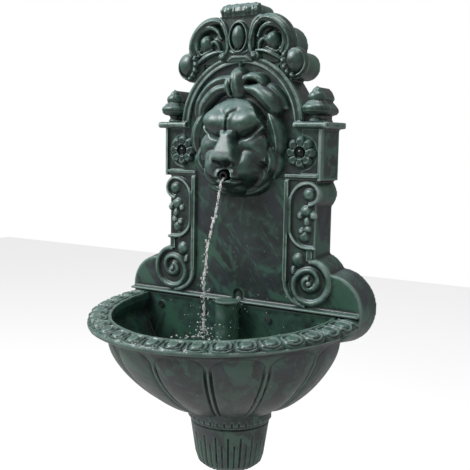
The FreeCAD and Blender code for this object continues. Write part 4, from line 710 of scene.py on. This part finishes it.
class FOUNTAIN_OT_rosettes(bpy.types.Operator):
    """Casts the rosettes and the acorn finials"""
    bl_idname = "fountain.rosettes"
    bl_label = "Rosettes and finials"

    def execute(self, context):
        relief = finishes()["verdigris_resin"]
        for name, side in (("right", 1), ("left", -1)):
            middle = ROSETTE_X * side

            def height(x, z):
                return rosette_height(x - middle, z)
            edges = (middle - ROSETTE_HALF, middle + ROSETTE_HALF)
            rows = (-ROSETTE_HALF, ROSETTE_HALF)
            rosette = emboss(f"rosette_{name}_casting", height, edges, rows, 0.45, 0.6)
            parts = cad_copy("finial_" + name)
            for base, radius, tall in FINIAL_FORMS:
                parts.append(ball(FINIAL_X * side, -FINIAL_OUT, FINIAL_SEAT + base, radius, radius, tall))
            finial = melt(f"finial_{name}_casting", parts, 0.8, 6)
            for piece, node in ((rosette, "rosette_"), (finial, "finial_")):
                mark_wear_and_shading(piece)
                thin(piece, 60000)
                dress(piece, relief, "verdigris_resin", node + name)
        return {"FINISHED"}


def hoop(x, z, cx, cz, rx, rz, wide, foot, front, start=0, end=360):
    """Height of a round moulding along part of an oval, in degrees from the right and upwards."""
    turns = np.radians(np.linspace(start, end, max(6, int(abs(end - start) / 15))))
    points = [(cx + rx * math.cos(t), cz + rz * math.sin(t), wide, front) for t in turns]
    return roll(x, z, points, foot, steps=4)


def cartouche_height(x, z):
    """The middle of the crest: the cabochon in its ring, the straps beside it and the tail below."""
    a = np.abs(x)
    back = np.where((a < 24 + 0.10 * (z - 150)) & (z > 141) & (z < 212), 55.0, 20)
    egg = lump(a, z, 0, 178, 11.5, 18.5, 55, 66, soft=0.42)
    ring = hoop(a, z, 0, 178, 15.6, 22.4, 2.6, 52, 61.5)
    halfway = [(13.2 * math.sin(t), 178 + 20 * math.cos(t), 3.5) for t in np.linspace(0, math.pi, 9)]
    seat = -press(a, z, halfway, 1.6)
    strap = roll(a, z, ((35, 205, 8, 58), (27, 196, 6.5, 60), (22, 182, 5, 60), (20, 168, 4.5, 60),
                        (22, 157, 4, 60), (27, 151, 3.6, 60), (31, 150, 3.4, 60)), 46, (0.0,), dig=2.2)
    curl = lump(a, z, 29.5, 149, 8.5, 7.5, 48, 63, soft=0.4)
    spiral = -press(a, z, ((22.5, 149, 1), (25, 144.5, 3), (30, 143.5, 3), (33.6, 147.5, 3), (32, 152, 3),
                           (28.5, 151, 2.5)), 1.5)
    bar = roll(a, z, ((0, 154, 4, 58), (9, 154, 3.6, 58), (16, 157, 3, 57)), 46)
    low = roll(a, z, ((0, 147.5, 3.2, 57), (12, 147, 3, 57), (20, 143, 2.4, 56)), 46)
    tip = roll(x, z, ((0, 148, 9, 54), (0, 140, 6, 54), (0, 133, 2.5, 52)), 44)
    return blended([back, egg, ring, strap, curl, bar, low, tip], 0.8) + seat + spiral


def scroll_height(x, z):
    """A side of the crest: the large scroll over its bud, with leaves, and the paw with its knobs."""
    ground = lump(x, z, 60, 168, 33, 31, 44, 52, soft=0.2)
    side = lump(x, z, 93, 137, 24, 24, 44, 52, soft=0.2)
    outer = roll(x, z, ((37, 203, 5, 60), (48, 205, 8, 62), (62, 201, 10, 63), (76, 191, 10.5, 63),
                        (86, 177, 10, 62), (89, 163, 9, 61), (85, 152, 7, 60), (78, 146, 4, 58)),
                 44, (0.45, -0.3), dig=1.8)
    inner = roll(x, z, ((34, 178, 3, 58), (40, 189, 4, 60), (52, 195, 5, 61), (66, 191, 5.5, 61),
                        (77, 180, 5.5, 60), (80, 166, 5, 60), (75, 153, 4, 59)), 46, (0.0,), dig=1.6)
    bud = lump(x, z, 60, 171, 12.5, 14, 48, 66, tilt=-20)
    cap = lump(x, z, 65, 166, 11, 12, 48, 63, tilt=-20)
    leaf = roll(x, z, ((36, 160, 3, 58), (39, 169, 4, 61), (46, 173, 4, 61), (51, 168, 3, 60)), 46, (0.0,))
    low = roll(x, z, ((31, 157, 2.5, 58), (44, 156, 4, 60), (57, 152, 5, 61), (68, 147, 5, 60),
                      (76, 141, 3, 58)), 46, (0.1,))
    frill = roll(x, z, ((50, 161, 2.5, 58), (60, 156, 3, 60), (69, 154, 3.4, 60), (74, 159, 3, 59)), 46)
    paw = lump(x, z, 97, 139, 19, 20, 46, 64, tilt=-25, soft=0.42)
    toes = ((82, 148, 5.5, 63), (80, 139, 5.2, 63), (82, 130, 5.2, 62), (87, 122.5, 5, 61),
            (94, 117.5, 4.5, 59))
    knobs = [lump(x, z, cx, cz, r, r * 1.05, 48, out) for cx, cz, r, out in toes]
    gap = -press(x, z, ((86, 152, 2), (86.5, 143, 4), (87, 134, 4), (91, 126, 4), (98, 119, 2)), 2.0)
    pit = -press(x, z, ((48, 183, 5), (60, 187.5, 6), (70, 182, 6), (73.5, 170, 6), (69, 158, 5)), 2.8)
    rim = hoop(x, z, 95, 136, 20.5, 20.5, 2.4, 46, 57, -70, 100)
    forms = [ground, side, outer, inner, bud, cap, leaf, low, frill, paw, rim, *knobs]
    return blended(forms, 0.8) + gap + pit


ROLL_OUT, ROLL_Z = 46, 217.5     # the axis of the crest's roll, mm
BAND_HALF = 2.2                  # half width of a band round it


def crest_roll():
    """The roll on top of the crest: five swellings and four bands, with balls in front and at its ends."""
    parts = []
    for middle, half, radius in ((-17, 6, 13.6), (0, 9, 14.0), (17, 6, 13.6), (-28, 5, 13), (28, 5, 13)):
        points = [(middle + half * s, -ROLL_OUT, ROLL_Z, radius - 1.6 * s * s) for s in (-1, -0.5, 0, 0.5, 1)]
        parts.append(stroke(points))
    for x, radius in ((-24, 14), (-10, 14.2), (10, 14.2), (24, 14)):
        ends = [(x + side * BAND_HALF, -ROLL_OUT, ROLL_Z, radius) for side in (-1, 1)]
        parts.append(stroke(ends))
    for x in (-17, 17):
        parts.append(ball(x, -57, 219, 6.5, 5.5, 6.5))
    for x in (-31, 31):
        parts.append(ball(x, -47, ROLL_Z, 4, 12, 12))
        parts.append(ball(x * 0.98, -58, 219, 3.5, 3, 4))
    return parts


class FOUNTAIN_OT_crest(bpy.types.Operator):
    """Casts the crest: the roll, the cabochon with its straps, and the scrolls at its sides"""
    bl_idname = "fountain.crest"
    bl_label = "Crest"

    def execute(self, context):
        relief = finishes()["verdigris_resin"]
        middle = emboss("crest_cartouche_casting", cartouche_height, (-48, 48), (128, 214), 0.6, 0.8,
                        extra=crest_roll())
        pieces = [(middle, "crest_cartouche")]
        for name, sign in (("right", 1), ("left", -1)):
            def height(x, z):
                return scroll_height(x * sign, z)
            edges = (28, 120) if sign > 0 else (-120, -28)
            pieces.append((emboss(f"crest_scroll_{name}_casting", height, edges, (112, 216), 0.6, 0.8),
                           "crest_scroll_" + name))
        for piece, name in pieces:
            mark_wear_and_shading(piece)
            thin(piece, 120000)
            dress(piece, relief, "verdigris_resin", name)
        return {"FINISHED"}


# Rolls and locks of the mane: foot, grooves, and (x, z, half width, front) points
MANE = (
    # the tuft at the top, the small lobe at its left and the fold under both
    (50, (0.1, -0.55), ((4, 92, 13, 70), (3, 104, 16.5, 76), (2, 115, 15.5, 74), (-1, 124, 8.5, 66))),
    (50, (), ((-11, 91, 8, 67), (-15, 103, 9.5, 70), (-14, 113, 7, 65))),
    (48, (), ((-26, 93, 8, 58), (-4, 90, 9, 60), (26, 94, 8, 58))),
    # two long rolls down to the left
    (46, (0.15,), ((-18, 113, 8, 64), (-33, 110, 10, 68), (-48, 101, 11.5, 69), (-61, 88, 11.5, 68),
                   (-71, 76, 10, 65), (-77, 63, 8, 60), (-78, 52, 5, 56))),
    (50, (0.3,), ((-17, 99, 8.5, 70), (-33, 95, 10.5, 73), (-48, 84, 11.5, 73), (-60, 71, 10.5, 71),
                  (-65, 60, 9, 67))),
    # the curl, the roll with the fat end and the thin edge behind it, down to the right
    (50, (), ((14, 111, 7.5, 67), (25, 116, 7.5, 70), (38, 114, 8, 69), (47, 106, 7.5, 67), (43, 98, 7, 66),
              (32, 96, 8, 69), (20, 99, 8, 68))),
    (50, (-0.35,), ((22, 97, 9, 68), (36, 95, 12, 73), (50, 87, 15, 76), (62, 77, 16, 76),
                    (68, 68, 13.5, 71))),
    (46, (), ((46, 104, 6, 58), (62, 97, 7, 60), (76, 83, 7, 59), (82, 69, 6, 56))),
)
# The same on both sides
MANE_PAIRS = (
    (46, (0.25, -0.3), ((58, 61, 7, 63), (67, 48, 11, 69), (74, 30, 13, 70), (76, 11, 11.5, 67),
                        (72, -5, 6, 58))),
    (48, (-0.2,), ((58, 47, 5, 60), (62, 32, 6.5, 63), (64, 18, 6.5, 62), (62, 6, 4, 58))),
    (46, (0.3, -0.3), ((56, 13, 5, 60), (62, 0, 10, 68), (66, -14, 11.5, 68), (62, -27, 9.5, 64),
                       (55, -37, 5, 56))),
    (46, (), ((72, 0, 4, 56), (77, -12, 6, 59), (74, -26, 6, 58), (66, -39, 4, 54))),
    (46, (0.0,), ((47, -20, 5, 60), (53, -32, 9, 67), (49, -43, 9, 66), (40, -50, 8, 63),
                  (31, -46, 4.5, 60))),
    (44, (0.0,), ((58, -41, 4, 54), (50, -52, 7, 59), (37, -60, 8, 61), (24, -64, 7.5, 61),
                  (13, -68, 5, 56))),
    (44, (), ((24, -60, 5, 58), (14, -66, 7, 60), (4, -68, 6, 58))),
)


def lion_height(x, z):
    """The lion's face and mane."""
    a = np.abs(x)
    # Skull, forehead and the two lobes of the brow
    skull = lump(a, z, 0, 6, 60, 75, 46, 79, soft=0.42)
    forehead = lump(a, z, 0, 44, 57.5, 40, 48, 86, soft=0.26) - 0.16 * np.maximum(z - 50, 0)
    brow = lump(a, z, 26, 44, 31, 22, 66, 91, tilt=13, soft=0.6)
    middle = lump(a, z, 0, 48, 17, 26, 66, 89, soft=0.5)
    # Cheeks, muzzle and chin
    cheek = lump(a, z, 36, 5, 29, 27, 60, 82, tilt=31, soft=0.55)
    muzzle = lump(a, z, 23, -24, 30, 29, 58, 94, tilt=-10, soft=0.55)
    chin = lump(a, z, 0, -54, 25, 17, 54, 86, soft=0.5)
    # The flat bridge of the nose, with its tip turned down
    half = np.interp(z, (-14, 27), (21, 13))
    ridge = np.interp(z, (-60, -30, -24, -19, -14, -10, 0, 27, 31, 40, 60),
                      (20, 72, 88, 98, 105, 107, 104.5, 95, 91, 70, 20))
    nose = ridge - 1.4 * (a / half) ** 2 - 24 * ease(a, half - 3, half + 11)
    wing = lump(a, z, 13, -17, 11, 9, 84, 99)
    face = blended([skull, forehead, brow, middle, cheek, muzzle, chin], 4.0)
    face = blended([face, nose, wing], 2.0)
    # Lids, and the fold from the corner of the eye down beside the nose
    lid = roll(a, z, ((15, 17, 2.5, 78), (25, 21, 3.5, 81), (38, 27, 4.5, 81), (49, 34, 4, 78),
                      (58, 45, 2.5, 70)), 66)
    fold = roll(a, z, ((18, 16, 2, 78), (21, 7, 2.6, 80), (21, -1, 2.6, 82)), 68)
    face = blended([face, lid, fold], 1.2)
    # Pressed in: the crease between the lobes, under the brow, beside the nose, nostrils, lip and mouth
    face -= press(x, z, ((0, 60, 0.5), (-1, 53, 5), (-2, 44, 7), (-2.6, 34, 7), (-1, 29, 3)), 2.0)
    face -= press(x, z, ((1, 54, 2), (6, 60, 2), (15, 64, 0)), 2.6)
    face -= press(x, z, ((-4, 54, 2), (-9, 59, 2), (-17, 62, 0)), 2.6)
    face -= press(a, z, ((12, 23, 3), (22, 22, 11), (34, 26, 11), (45, 34, 9), (54, 45, 4)), 3.2)
    face -= press(a, z, ((14, 26, 4), (15.5, 17, 13), (18, 9, 7), (23, -3, 4), (27, -12, 1)), 3.4)
    face -= press(a, z, ((24, 2, 1), (34, 3, 3.5), (44, -1, 3), (53, -10, 1)), 4.5)
    face -= press(a, z, ((7, -20, 9), (11, -18, 7)), 3.2)
    face -= press(a, z, ((0, -21, 4), (0, -28, 8)), 2.4)
    face -= press(a, z, ((24, -56, 5), (34, -50, 5), (46, -34, 4)), 4.5)
    lips = lump(a, z, 0, -40, 27, 17, 74, 101, soft=0.55)
    face = blended([face, lips], 4.0)
    face -= press(a, z, ((6, -40, 8), (16, -44, 7), (27, -44, 4), (36, -36, 0)), 2.8)
    face -= 50 * (1 - ease(np.hypot(a / 10.5, (z + 37) / 8.4), 0.8, 1.2))
    face = np.where(face < 58, np.maximum(face, 44), face)
    face = np.where((a / 61) ** 2 + ((z - 6) / 79) ** 2 > 1, 40, face)
    # The mane, with the low ground that its locks stand on
    ground = lump(x, z, 0, 24, 71, 90, 44, 50, soft=0.2)
    crown = lump(x, z, 0, 68, 66, 46, 44, 58, soft=0.3)
    mane = [ground, crown]
    for foot, cuts, points in MANE:
        mane.append(roll(x, z, points, foot, cuts))
    for foot, cuts, points in MANE_PAIRS:
        mane.append(roll(a, z, points, foot, cuts))
    mane = blended(mane, 1.2)
    mane -= press(x, z, ((-5, 110, 5), (-7, 101, 9), (-8, 90, 7)), 2.4)
    mane -= press(x, z, ((23, 106, 9), (33, 106, 8)), 3.2)
    return blended([face, mane], 0.8)


class FOUNTAIN_OT_lion(bpy.types.Operator):
    """Models the lion mask: forehead, brow, nose, muzzle and the locks of the mane"""
    bl_idname = "fountain.lion"
    bl_label = "Lion mask"

    def execute(self, context):
        mask = emboss("lion_mask_casting", lion_height, (-92, 92), (-76, 136), 0.8, 1.05)
        mark_wear_and_shading(mask, near=5, far=50, wide=2.2)
        thin(mask, 190000)
        dress(mask, finishes()["verdigris_resin"], "verdigris_resin", "lion_mask")
        return {"FINISHED"}


# The basin's rim and bowl follow half an oval whose middle lies out from the wall, in mm
OVAL_OUT = 70                   # how far out from the wall its middle is
RIM_MIDDLE = (205, 230)         # half width and reach of the rim's middle line
RIM_INSIDE = (176, 206)
RIM_OUTSIDE = (216.5, 240.5)
RIM_WIDE = 38
RIM_BEND = -253.5               # Z where the rim turns down
RIM_FOOT = -263                 # Z of its lower edge
RIM_SPAN = 182                  # degrees that the eggs share
RIM_DEGREE = 3.75               # length of a degree of the rim
SIDE_DEGREE = 3.7               # the same along the straight sides
EGG_HALF = (15.4, 18)           # half width and length of an egg with its rings
EGG_MIDDLE = 24                 # from the rim's inside to the middle of an egg
EGG_DRAWN = 0.0026              # egg and lobe heights that the profiles below are drawn for, m
LOBE_DRAWN = 0.0035
LOBE_TOP = -281                 # Z of a lobe's top
LOBE_SQUASH = 0.5               # how flat its top arch is
LOBE_SQUARE = 2.6               # power of its outline: 2 is round
RIB_HALF = 4.5                  # half width of the rib between two lobes
BOWL_FOOT = (402, 407)          # depth below Z 0 where the lobes fade out
FRONT_ONLY = -50                # Y in front of which there is ornament


def oval_reach(heading, half):
    """How far an oval with those half widths reaches at a heading, in radians from the right."""
    return 1 / np.hypot(np.cos(heading) / half[0], np.sin(heading) / half[1])


def outwards(x, y):
    """The level direction away from the origin."""
    away = np.stack([x, y, np.zeros(len(x))], 1)
    return away / np.maximum(np.linalg.norm(away, axis=1), 1)[:, None]


def bearings(places):
    """How far in front of the oval's middle each point is, and its bearing in degrees from straight out."""
    x, y = places[:, 0], places[:, 1]
    front = np.maximum(-(y + OVAL_OUT), 0)
    behind = np.maximum(y + OVAL_OUT, 0)
    turn = np.degrees(np.arctan2(x / RIM_MIDDLE[0], front / RIM_MIDDLE[1]))
    return front, turn + np.sign(x) * behind / SIDE_DEGREE


def raise_eggs(places, normals, front, turn, sizes):
    """Raises the eggs on the rim and scallops its outer edge between them. Says which points are rim."""
    x, y, z = places.T
    heading = np.arctan2(front, np.abs(x))
    inner, outer = oval_reach(heading, RIM_INSIDE), oval_reach(heading, RIM_OUTSIDE)
    across = (np.hypot(x, front) - inner) / (outer - inner)
    along = across * RIM_WIDE + np.maximum(RIM_BEND - z, 0) * (across > 0.9)
    pitch = RIM_SPAN / sizes.eggs
    place = (turn / pitch) % 1 - 0.5
    spread = pitch * RIM_DEGREE
    u = np.abs(place) * spread
    # An egg is squarer towards the inside of the rim and rounder towards its outer edge
    power = np.where(along < EGG_MIDDLE + 1, 3.6, 2.2)
    q = ((u / EGG_HALF[0]) ** power + (np.abs(along - EGG_MIDDLE) / EGG_HALF[1]) ** power) ** (1 / power)
    # The egg, the ring round it, and the grooves inside and outside that ring
    height = (2.4 * (1 - ease(q, 0.40, 0.60)) + 1.9 * np.exp(-((q - 0.86) / 0.075) ** 2)
              - 0.9 * np.exp(-((q - 0.68) / 0.07) ** 2) - 1.2 * np.exp(-((q - 1.06) / 0.08) ** 2) - 0.6)
    above = (normals[:, 2] > 0.2) | (across > 0.85)
    rim = (z > RIM_FOOT) & (across > 0.06) & (across < 1.3) & above & (y < FRONT_ONLY)
    fade = ease(across, 0.06, 0.16) * ease(-z, 240, 243) * (1 - ease(-z, 259, -RIM_FOOT))
    shift = np.where(rim, height * fade * sizes.egg_height / EGG_DRAWN, 0)
    places += normals * shift[:, None]
    notch = np.abs(place) ** 3 * 8 * ease(across, 0.8, 1.0) * (z > RIM_FOOT - 1)
    pull = np.where(rim, -3.2 * notch - 0.8 * ease(across, 0.85, 1.0), 0)
    places += outwards(x, -front) * pull[:, None]
    return rim


def swell_lobes(places, normals, front, turn, sizes):
    """Swells the lobes of the bowl, with a groove at each side and a narrow rib between each two. Says
    which points are the bowl's outside."""
    x, y, z = places.T
    slope = (normals * outwards(x, -front)).sum(1)
    below = (normals[:, 2] < -0.3) & (z < -395)
    outside = (z < RIM_FOOT - 3) & (y < FRONT_ONLY) & ((slope > 0.25) | below)
    pitch = 180 / sizes.lobes
    lobe = ((turn / pitch) % 1 - 0.5) * pitch
    scale = np.hypot(x, front) * math.pi / 180
    u = np.abs(lobe) * scale
    half = pitch * scale * 0.5 - RIB_HALF
    v = np.maximum(z - (LOBE_TOP - half * LOBE_SQUASH), 0) / LOBE_SQUASH
    r = (u ** LOBE_SQUARE + v ** LOBE_SQUARE) ** (1 / LOBE_SQUARE) / half
    swell = 3.2 * (1 - np.clip(r, 0, 1) ** 2) ** 0.7 * ease(-z, 268, 312)
    groove = -3.6 * np.exp(-((r - 1.0) * half / 1.9) ** 2) * (0.12 + 0.88 * ease(-z, 284, 318))
    rib = 1.2 * np.exp(-(np.maximum(half + RIB_HALF - u, 0) / 1.8) ** 2) * ease(-z, 290, 310)
    shift = np.where(outside, (swell + groove + rib) * (1 - ease(-z, *BOWL_FOOT)), 0)
    places += normals * (shift * sizes.lobe_height / LOBE_DRAWN)[:, None]
    return outside


class FOUNTAIN_OT_basin(bpy.types.Operator):
    """Casts the basin, with its egg moulded rim and lobed bowl"""
    bl_idname = "fountain.basin"
    bl_label = "Basin"

    def execute(self, context):
        sizes = context.scene.fountain_sizes
        basin = melt("basin_casting", cad_copy("basin_bowl"), 1.4, 3)
        places, normals = get_points(basin) / MM, get_normals(basin)
        front, turn = bearings(places)
        rim = raise_eggs(places, normals, front, turn, sizes)
        outside = swell_lobes(places, normals, front, turn, sizes)
        places[:, 1] = np.maximum(places[:, 1], CAD_BOX[0].y / MM + 0.3)
        set_points(basin, places * MM)
        # Painted light and shade: the basin's inside is painted paler, as if lit, and the bowl's outside
        # darker, as if in shade
        inside = (places[:, 2] < -258) & ~rim
        lift = np.where(outside, -0.12, np.where(inside, 0.26, 0.05))
        mark_wear_and_shading(basin, near=4, far=40, wide=2.2, lift=lift)
        thin(basin, 195000)
        dress(basin, finishes()["aged_resin"], "aged_resin", "basin_bowl")
        return {"FINISHED"}


# The drum's ornament, in mm, with depths below Z 0
DRUM_OUT = 62                   # the drum's axis, out from the wall
DRUM_FRONT = -49                # Y in front of which it is cut
COLLAR_PITCH = 9.5              # degrees from one notch of the collar to the next
COLLAR = (423, 433)             # depths between which the notches are
RING_DEPTH = 437                # the ring groove below the collar
FLUTE_PITCH = 19                # degrees from one long flute to the next, with a short one between
LONG_FROM, SHORT_FROM = 450, 463
FLUTES_END = (520, 526)         # past the drum's foot, so that the flutes run out of it


def row(turn, pitch, width, half):
    """1 along the middle of each of a row of cuts, half mm to each side; width is a degree in mm."""
    return np.exp(-((turn % 1 - 0.5) * pitch * width / half) ** 2)


class FOUNTAIN_OT_drum(bpy.types.Operator):
    """Casts the drum, with its notched collar and cut flutes"""
    bl_idname = "fountain.drum"
    bl_label = "Drum"

    def execute(self, context):
        drum = melt("drum_casting", cad_copy("sump_drum"), 1.1, 3)
        places, normals = get_points(drum) / MM, get_normals(drum)
        x, y, z = places.T
        outside = ((normals * outwards(x, y + DRUM_OUT)).sum(1) > 0.1) & (y < DRUM_FRONT)
        turn = np.degrees(np.arctan2(x, -(y + DRUM_OUT)))
        notches = -2.2 * np.exp(-(((turn / COLLAR_PITCH) % 1 - 0.5) * COLLAR_PITCH * 1.2 / 1.5) ** 4)
        notches *= ease(-z, COLLAR[0], COLLAR[0] + 2) * (1 - ease(-z, COLLAR[1] - 2, COLLAR[1]))
        ring = -2.0 * np.exp(-((z + RING_DEPTH) / 1.3) ** 2)
        width = np.maximum(np.hypot(x, y + DRUM_OUT), 20) * math.pi / 180
        long = row(turn / FLUTE_PITCH, FLUTE_PITCH, width, 1.5) * ease(-z, LONG_FROM, LONG_FROM + 3)
        short = row(turn / FLUTE_PITCH + 0.5, FLUTE_PITCH, width, 1.3) * ease(-z, SHORT_FROM, SHORT_FROM + 3)
        flutes = -2.6 * (long + 0.8 * short) * (1 - ease(-z, *FLUTES_END))
        shift = np.where(outside, notches + ring + flutes, 0)
        places += normals * shift[:, None]
        set_points(drum, places * MM)
        mark_wear_and_shading(drum, near=4, far=30)
        thin(drum, 110000)
        dress(drum, finishes()["aged_resin"], "aged_resin", "sump_drum")
        return {"FINISHED"}


class FOUNTAIN_OT_riser(bpy.types.Operator):
    """Casts the riser column with its cap and slotted plate"""
    bl_idname = "fountain.riser"
    bl_label = "Riser"

    def execute(self, context):
        riser = melt("riser_casting", cad_copy("riser_cover"), 1.0, 3)
        # lift paints the whole riser paler, as if lit: painted light
        mark_wear_and_shading(riser, lift=0.42)
        thin(riser, 90000)
        dress(riser, finishes()["aged_resin"], "aged_resin", "riser_cover", body="riser")
        return {"FINISHED"}


SPOUT_Z = -40                   # where the water leaves the spout, mm
FALL_Y = -146                   # where it lands in the basin
# The middle of the falling water, as (Y, Z) in mm, down towards where it lands
FALL = ((-92, -40), (-102, -46), (-112, -84), (-129, -122), (-140, -152), (-145, -196), (-146, -258))
STRANDS = ((1.0, 0.0), (1.5, 2.1), (1.9, 4.2))      # mm off that middle, and the start of the twist
DROPS, SPLASHES, MIST = 60, 70, 70


class FOUNTAIN_OT_water(bpy.types.Operator):
    """Makes the falling water, with its drops and splashes"""
    bl_idname = "fountain.water"
    bl_label = "Water"

    def execute(self, context):
        sizes = context.scene.fountain_sizes
        level = -sizes.water_drop / MM
        path = FALL + ((FALL_Y, level - 1),)
        ys, zs = [p[0] for p in path], [-p[1] for p in path]
        spray = np.random.default_rng(7)
        parts = []
        # Each strand is broken into short lengths that twist round the middle
        for off, phase in STRANDS:
            z = float(SPOUT_Z)
            while z > level:
                length = 7 + 16 * spray.random()
                line = []
                for share in np.linspace(0, 1, 6):
                    low = z - share * length
                    turn = low * 0.16 + phase
                    wide = (0.35 + 0.9 * math.sin(math.pi * share)) * (0.8 + 0.4 * spray.random())
                    y = np.interp(-low, zs, ys) + off * 0.6 * math.cos(turn)
                    line.append((off * math.sin(turn), y, max(low, level - 1), wide))
                parts.append(stroke(line, rings=4))
                z -= length + 1 + 5 * spray.random() * min(1, (SPOUT_Z - z) / 90)
        # Drops that leave it, more of them lower down
        for _ in range(DROPS):
            share = spray.random() ** 0.6
            z = -60 + share * (level + 62)
            y = np.interp(-z, zs, ys)
            r = 0.6 + spray.random() * 1.1
            x, dy = spray.normal(0, 1.5 + 3 * share, 2)
            parts.append(ball(x, y + dy, z, r, r, r * 1.7))
        # Splashes round the place where it lands, and fine drops over the whole basin
        for _ in range(SPLASHES):
            bearing, away = spray.random() * 2 * math.pi, abs(spray.normal(0, 20)) + 4
            x, y = away * math.cos(bearing), FALL_Y + away * math.sin(bearing)
            lift = max(0, spray.normal(4, 7)) if away < 30 else 0
            r = 0.7 + spray.random() * 1.4
            parts.append(ball(x, y, level + lift + 0.4, r, r, r * 0.8))
        for _ in range(MIST):
            r = 0.45 + 0.5 * spray.random()
            x, y = spray.normal(0, 55), -60 - 90 * spray.random()
            parts.append(ball(x, y, level + 8 + abs(spray.normal(0, 60)), r, r, r))
        stream = melt("water_stream", parts, 0.5, 1)
        thin(stream, 90000)
        dress(stream, finishes()["stream"], "hose_pvc", angle=None)
        return {"FINISHED"}


PORE_DEPTH = 0.35     # depth of the foam's pores, mm


class FOUNTAIN_OT_fittings(bpy.types.Operator):
    """Gives the pump, hose, fixings and seals their finishes"""
    bl_idname = "fountain.fittings"
    bl_label = "Fittings"

    def execute(self, context):
        for finish, names in KEPT.items():
            for name in names:
                o = NODES[name]
                if not o.data.materials:
                    o.data.materials.append(None)
                for place in range(len(o.data.materials)):
                    o.data.materials[place] = finishes()[finish]
        foam = melt("foam_block", cad_copy("filter_foam"), 0.9, 1)
        places, normals = get_points(foam), get_normals(foam)
        x, y, z = places.T
        pores = np.sin(x * 2600) * np.sin(y * 2300 + 1) * np.sin(z * 2500 + 2)
        set_points(foam, places - normals * (PORE_DEPTH * MM * np.abs(pores))[:, None])
        dress(foam, finishes()["filter_foam"], "filter_foam", "filter_foam")
        return {"FINISHED"}


class FOUNTAIN_PT_panel(bpy.types.Panel):
    """The fountain's makers"""
    bl_idname = "FOUNTAIN_PT_panel"
    bl_label = "Fountain"
    bl_space_type = "VIEW_3D"
    bl_region_type = "UI"
    bl_category = "Fountain"

    def draw(self, context):
        for key in GROUPS:
            group = getattr(context.scene, key)
            for name in group.__annotations__:
                self.layout.prop(group, name)
        for maker in MAKERS:
            self.layout.operator(maker.bl_idname)


MAKERS = (FOUNTAIN_OT_stage, FOUNTAIN_OT_panel, FOUNTAIN_OT_mouldings, FOUNTAIN_OT_rosettes,
          FOUNTAIN_OT_crest, FOUNTAIN_OT_lion, FOUNTAIN_OT_basin, FOUNTAIN_OT_drum, FOUNTAIN_OT_riser,
          FOUNTAIN_OT_water, FOUNTAIN_OT_fittings)
GROUPS = {"fountain_finish": FountainFinish, "fountain_sizes": FountainSizes,
          "fountain_studio": FountainStudio}


def register():
    for name, group in GROUPS.items():
        bpy.utils.register_class(group)
        setattr(bpy.types.Scene, name, PointerProperty(type=group))
    for maker in MAKERS:
        bpy.utils.register_class(maker)
    bpy.utils.register_class(FOUNTAIN_PT_panel)


def unregister():
    bpy.utils.unregister_class(FOUNTAIN_PT_panel)
    for maker in reversed(MAKERS):
        bpy.utils.unregister_class(maker)
    for name, group in GROUPS.items():
        delattr(bpy.types.Scene, name)
        bpy.utils.unregister_class(group)


def main():
    register()
    for maker in MAKERS:
        getattr(bpy.ops.fountain, maker.bl_idname.split(".")[1])()


if __name__ == "__main__":
    main()
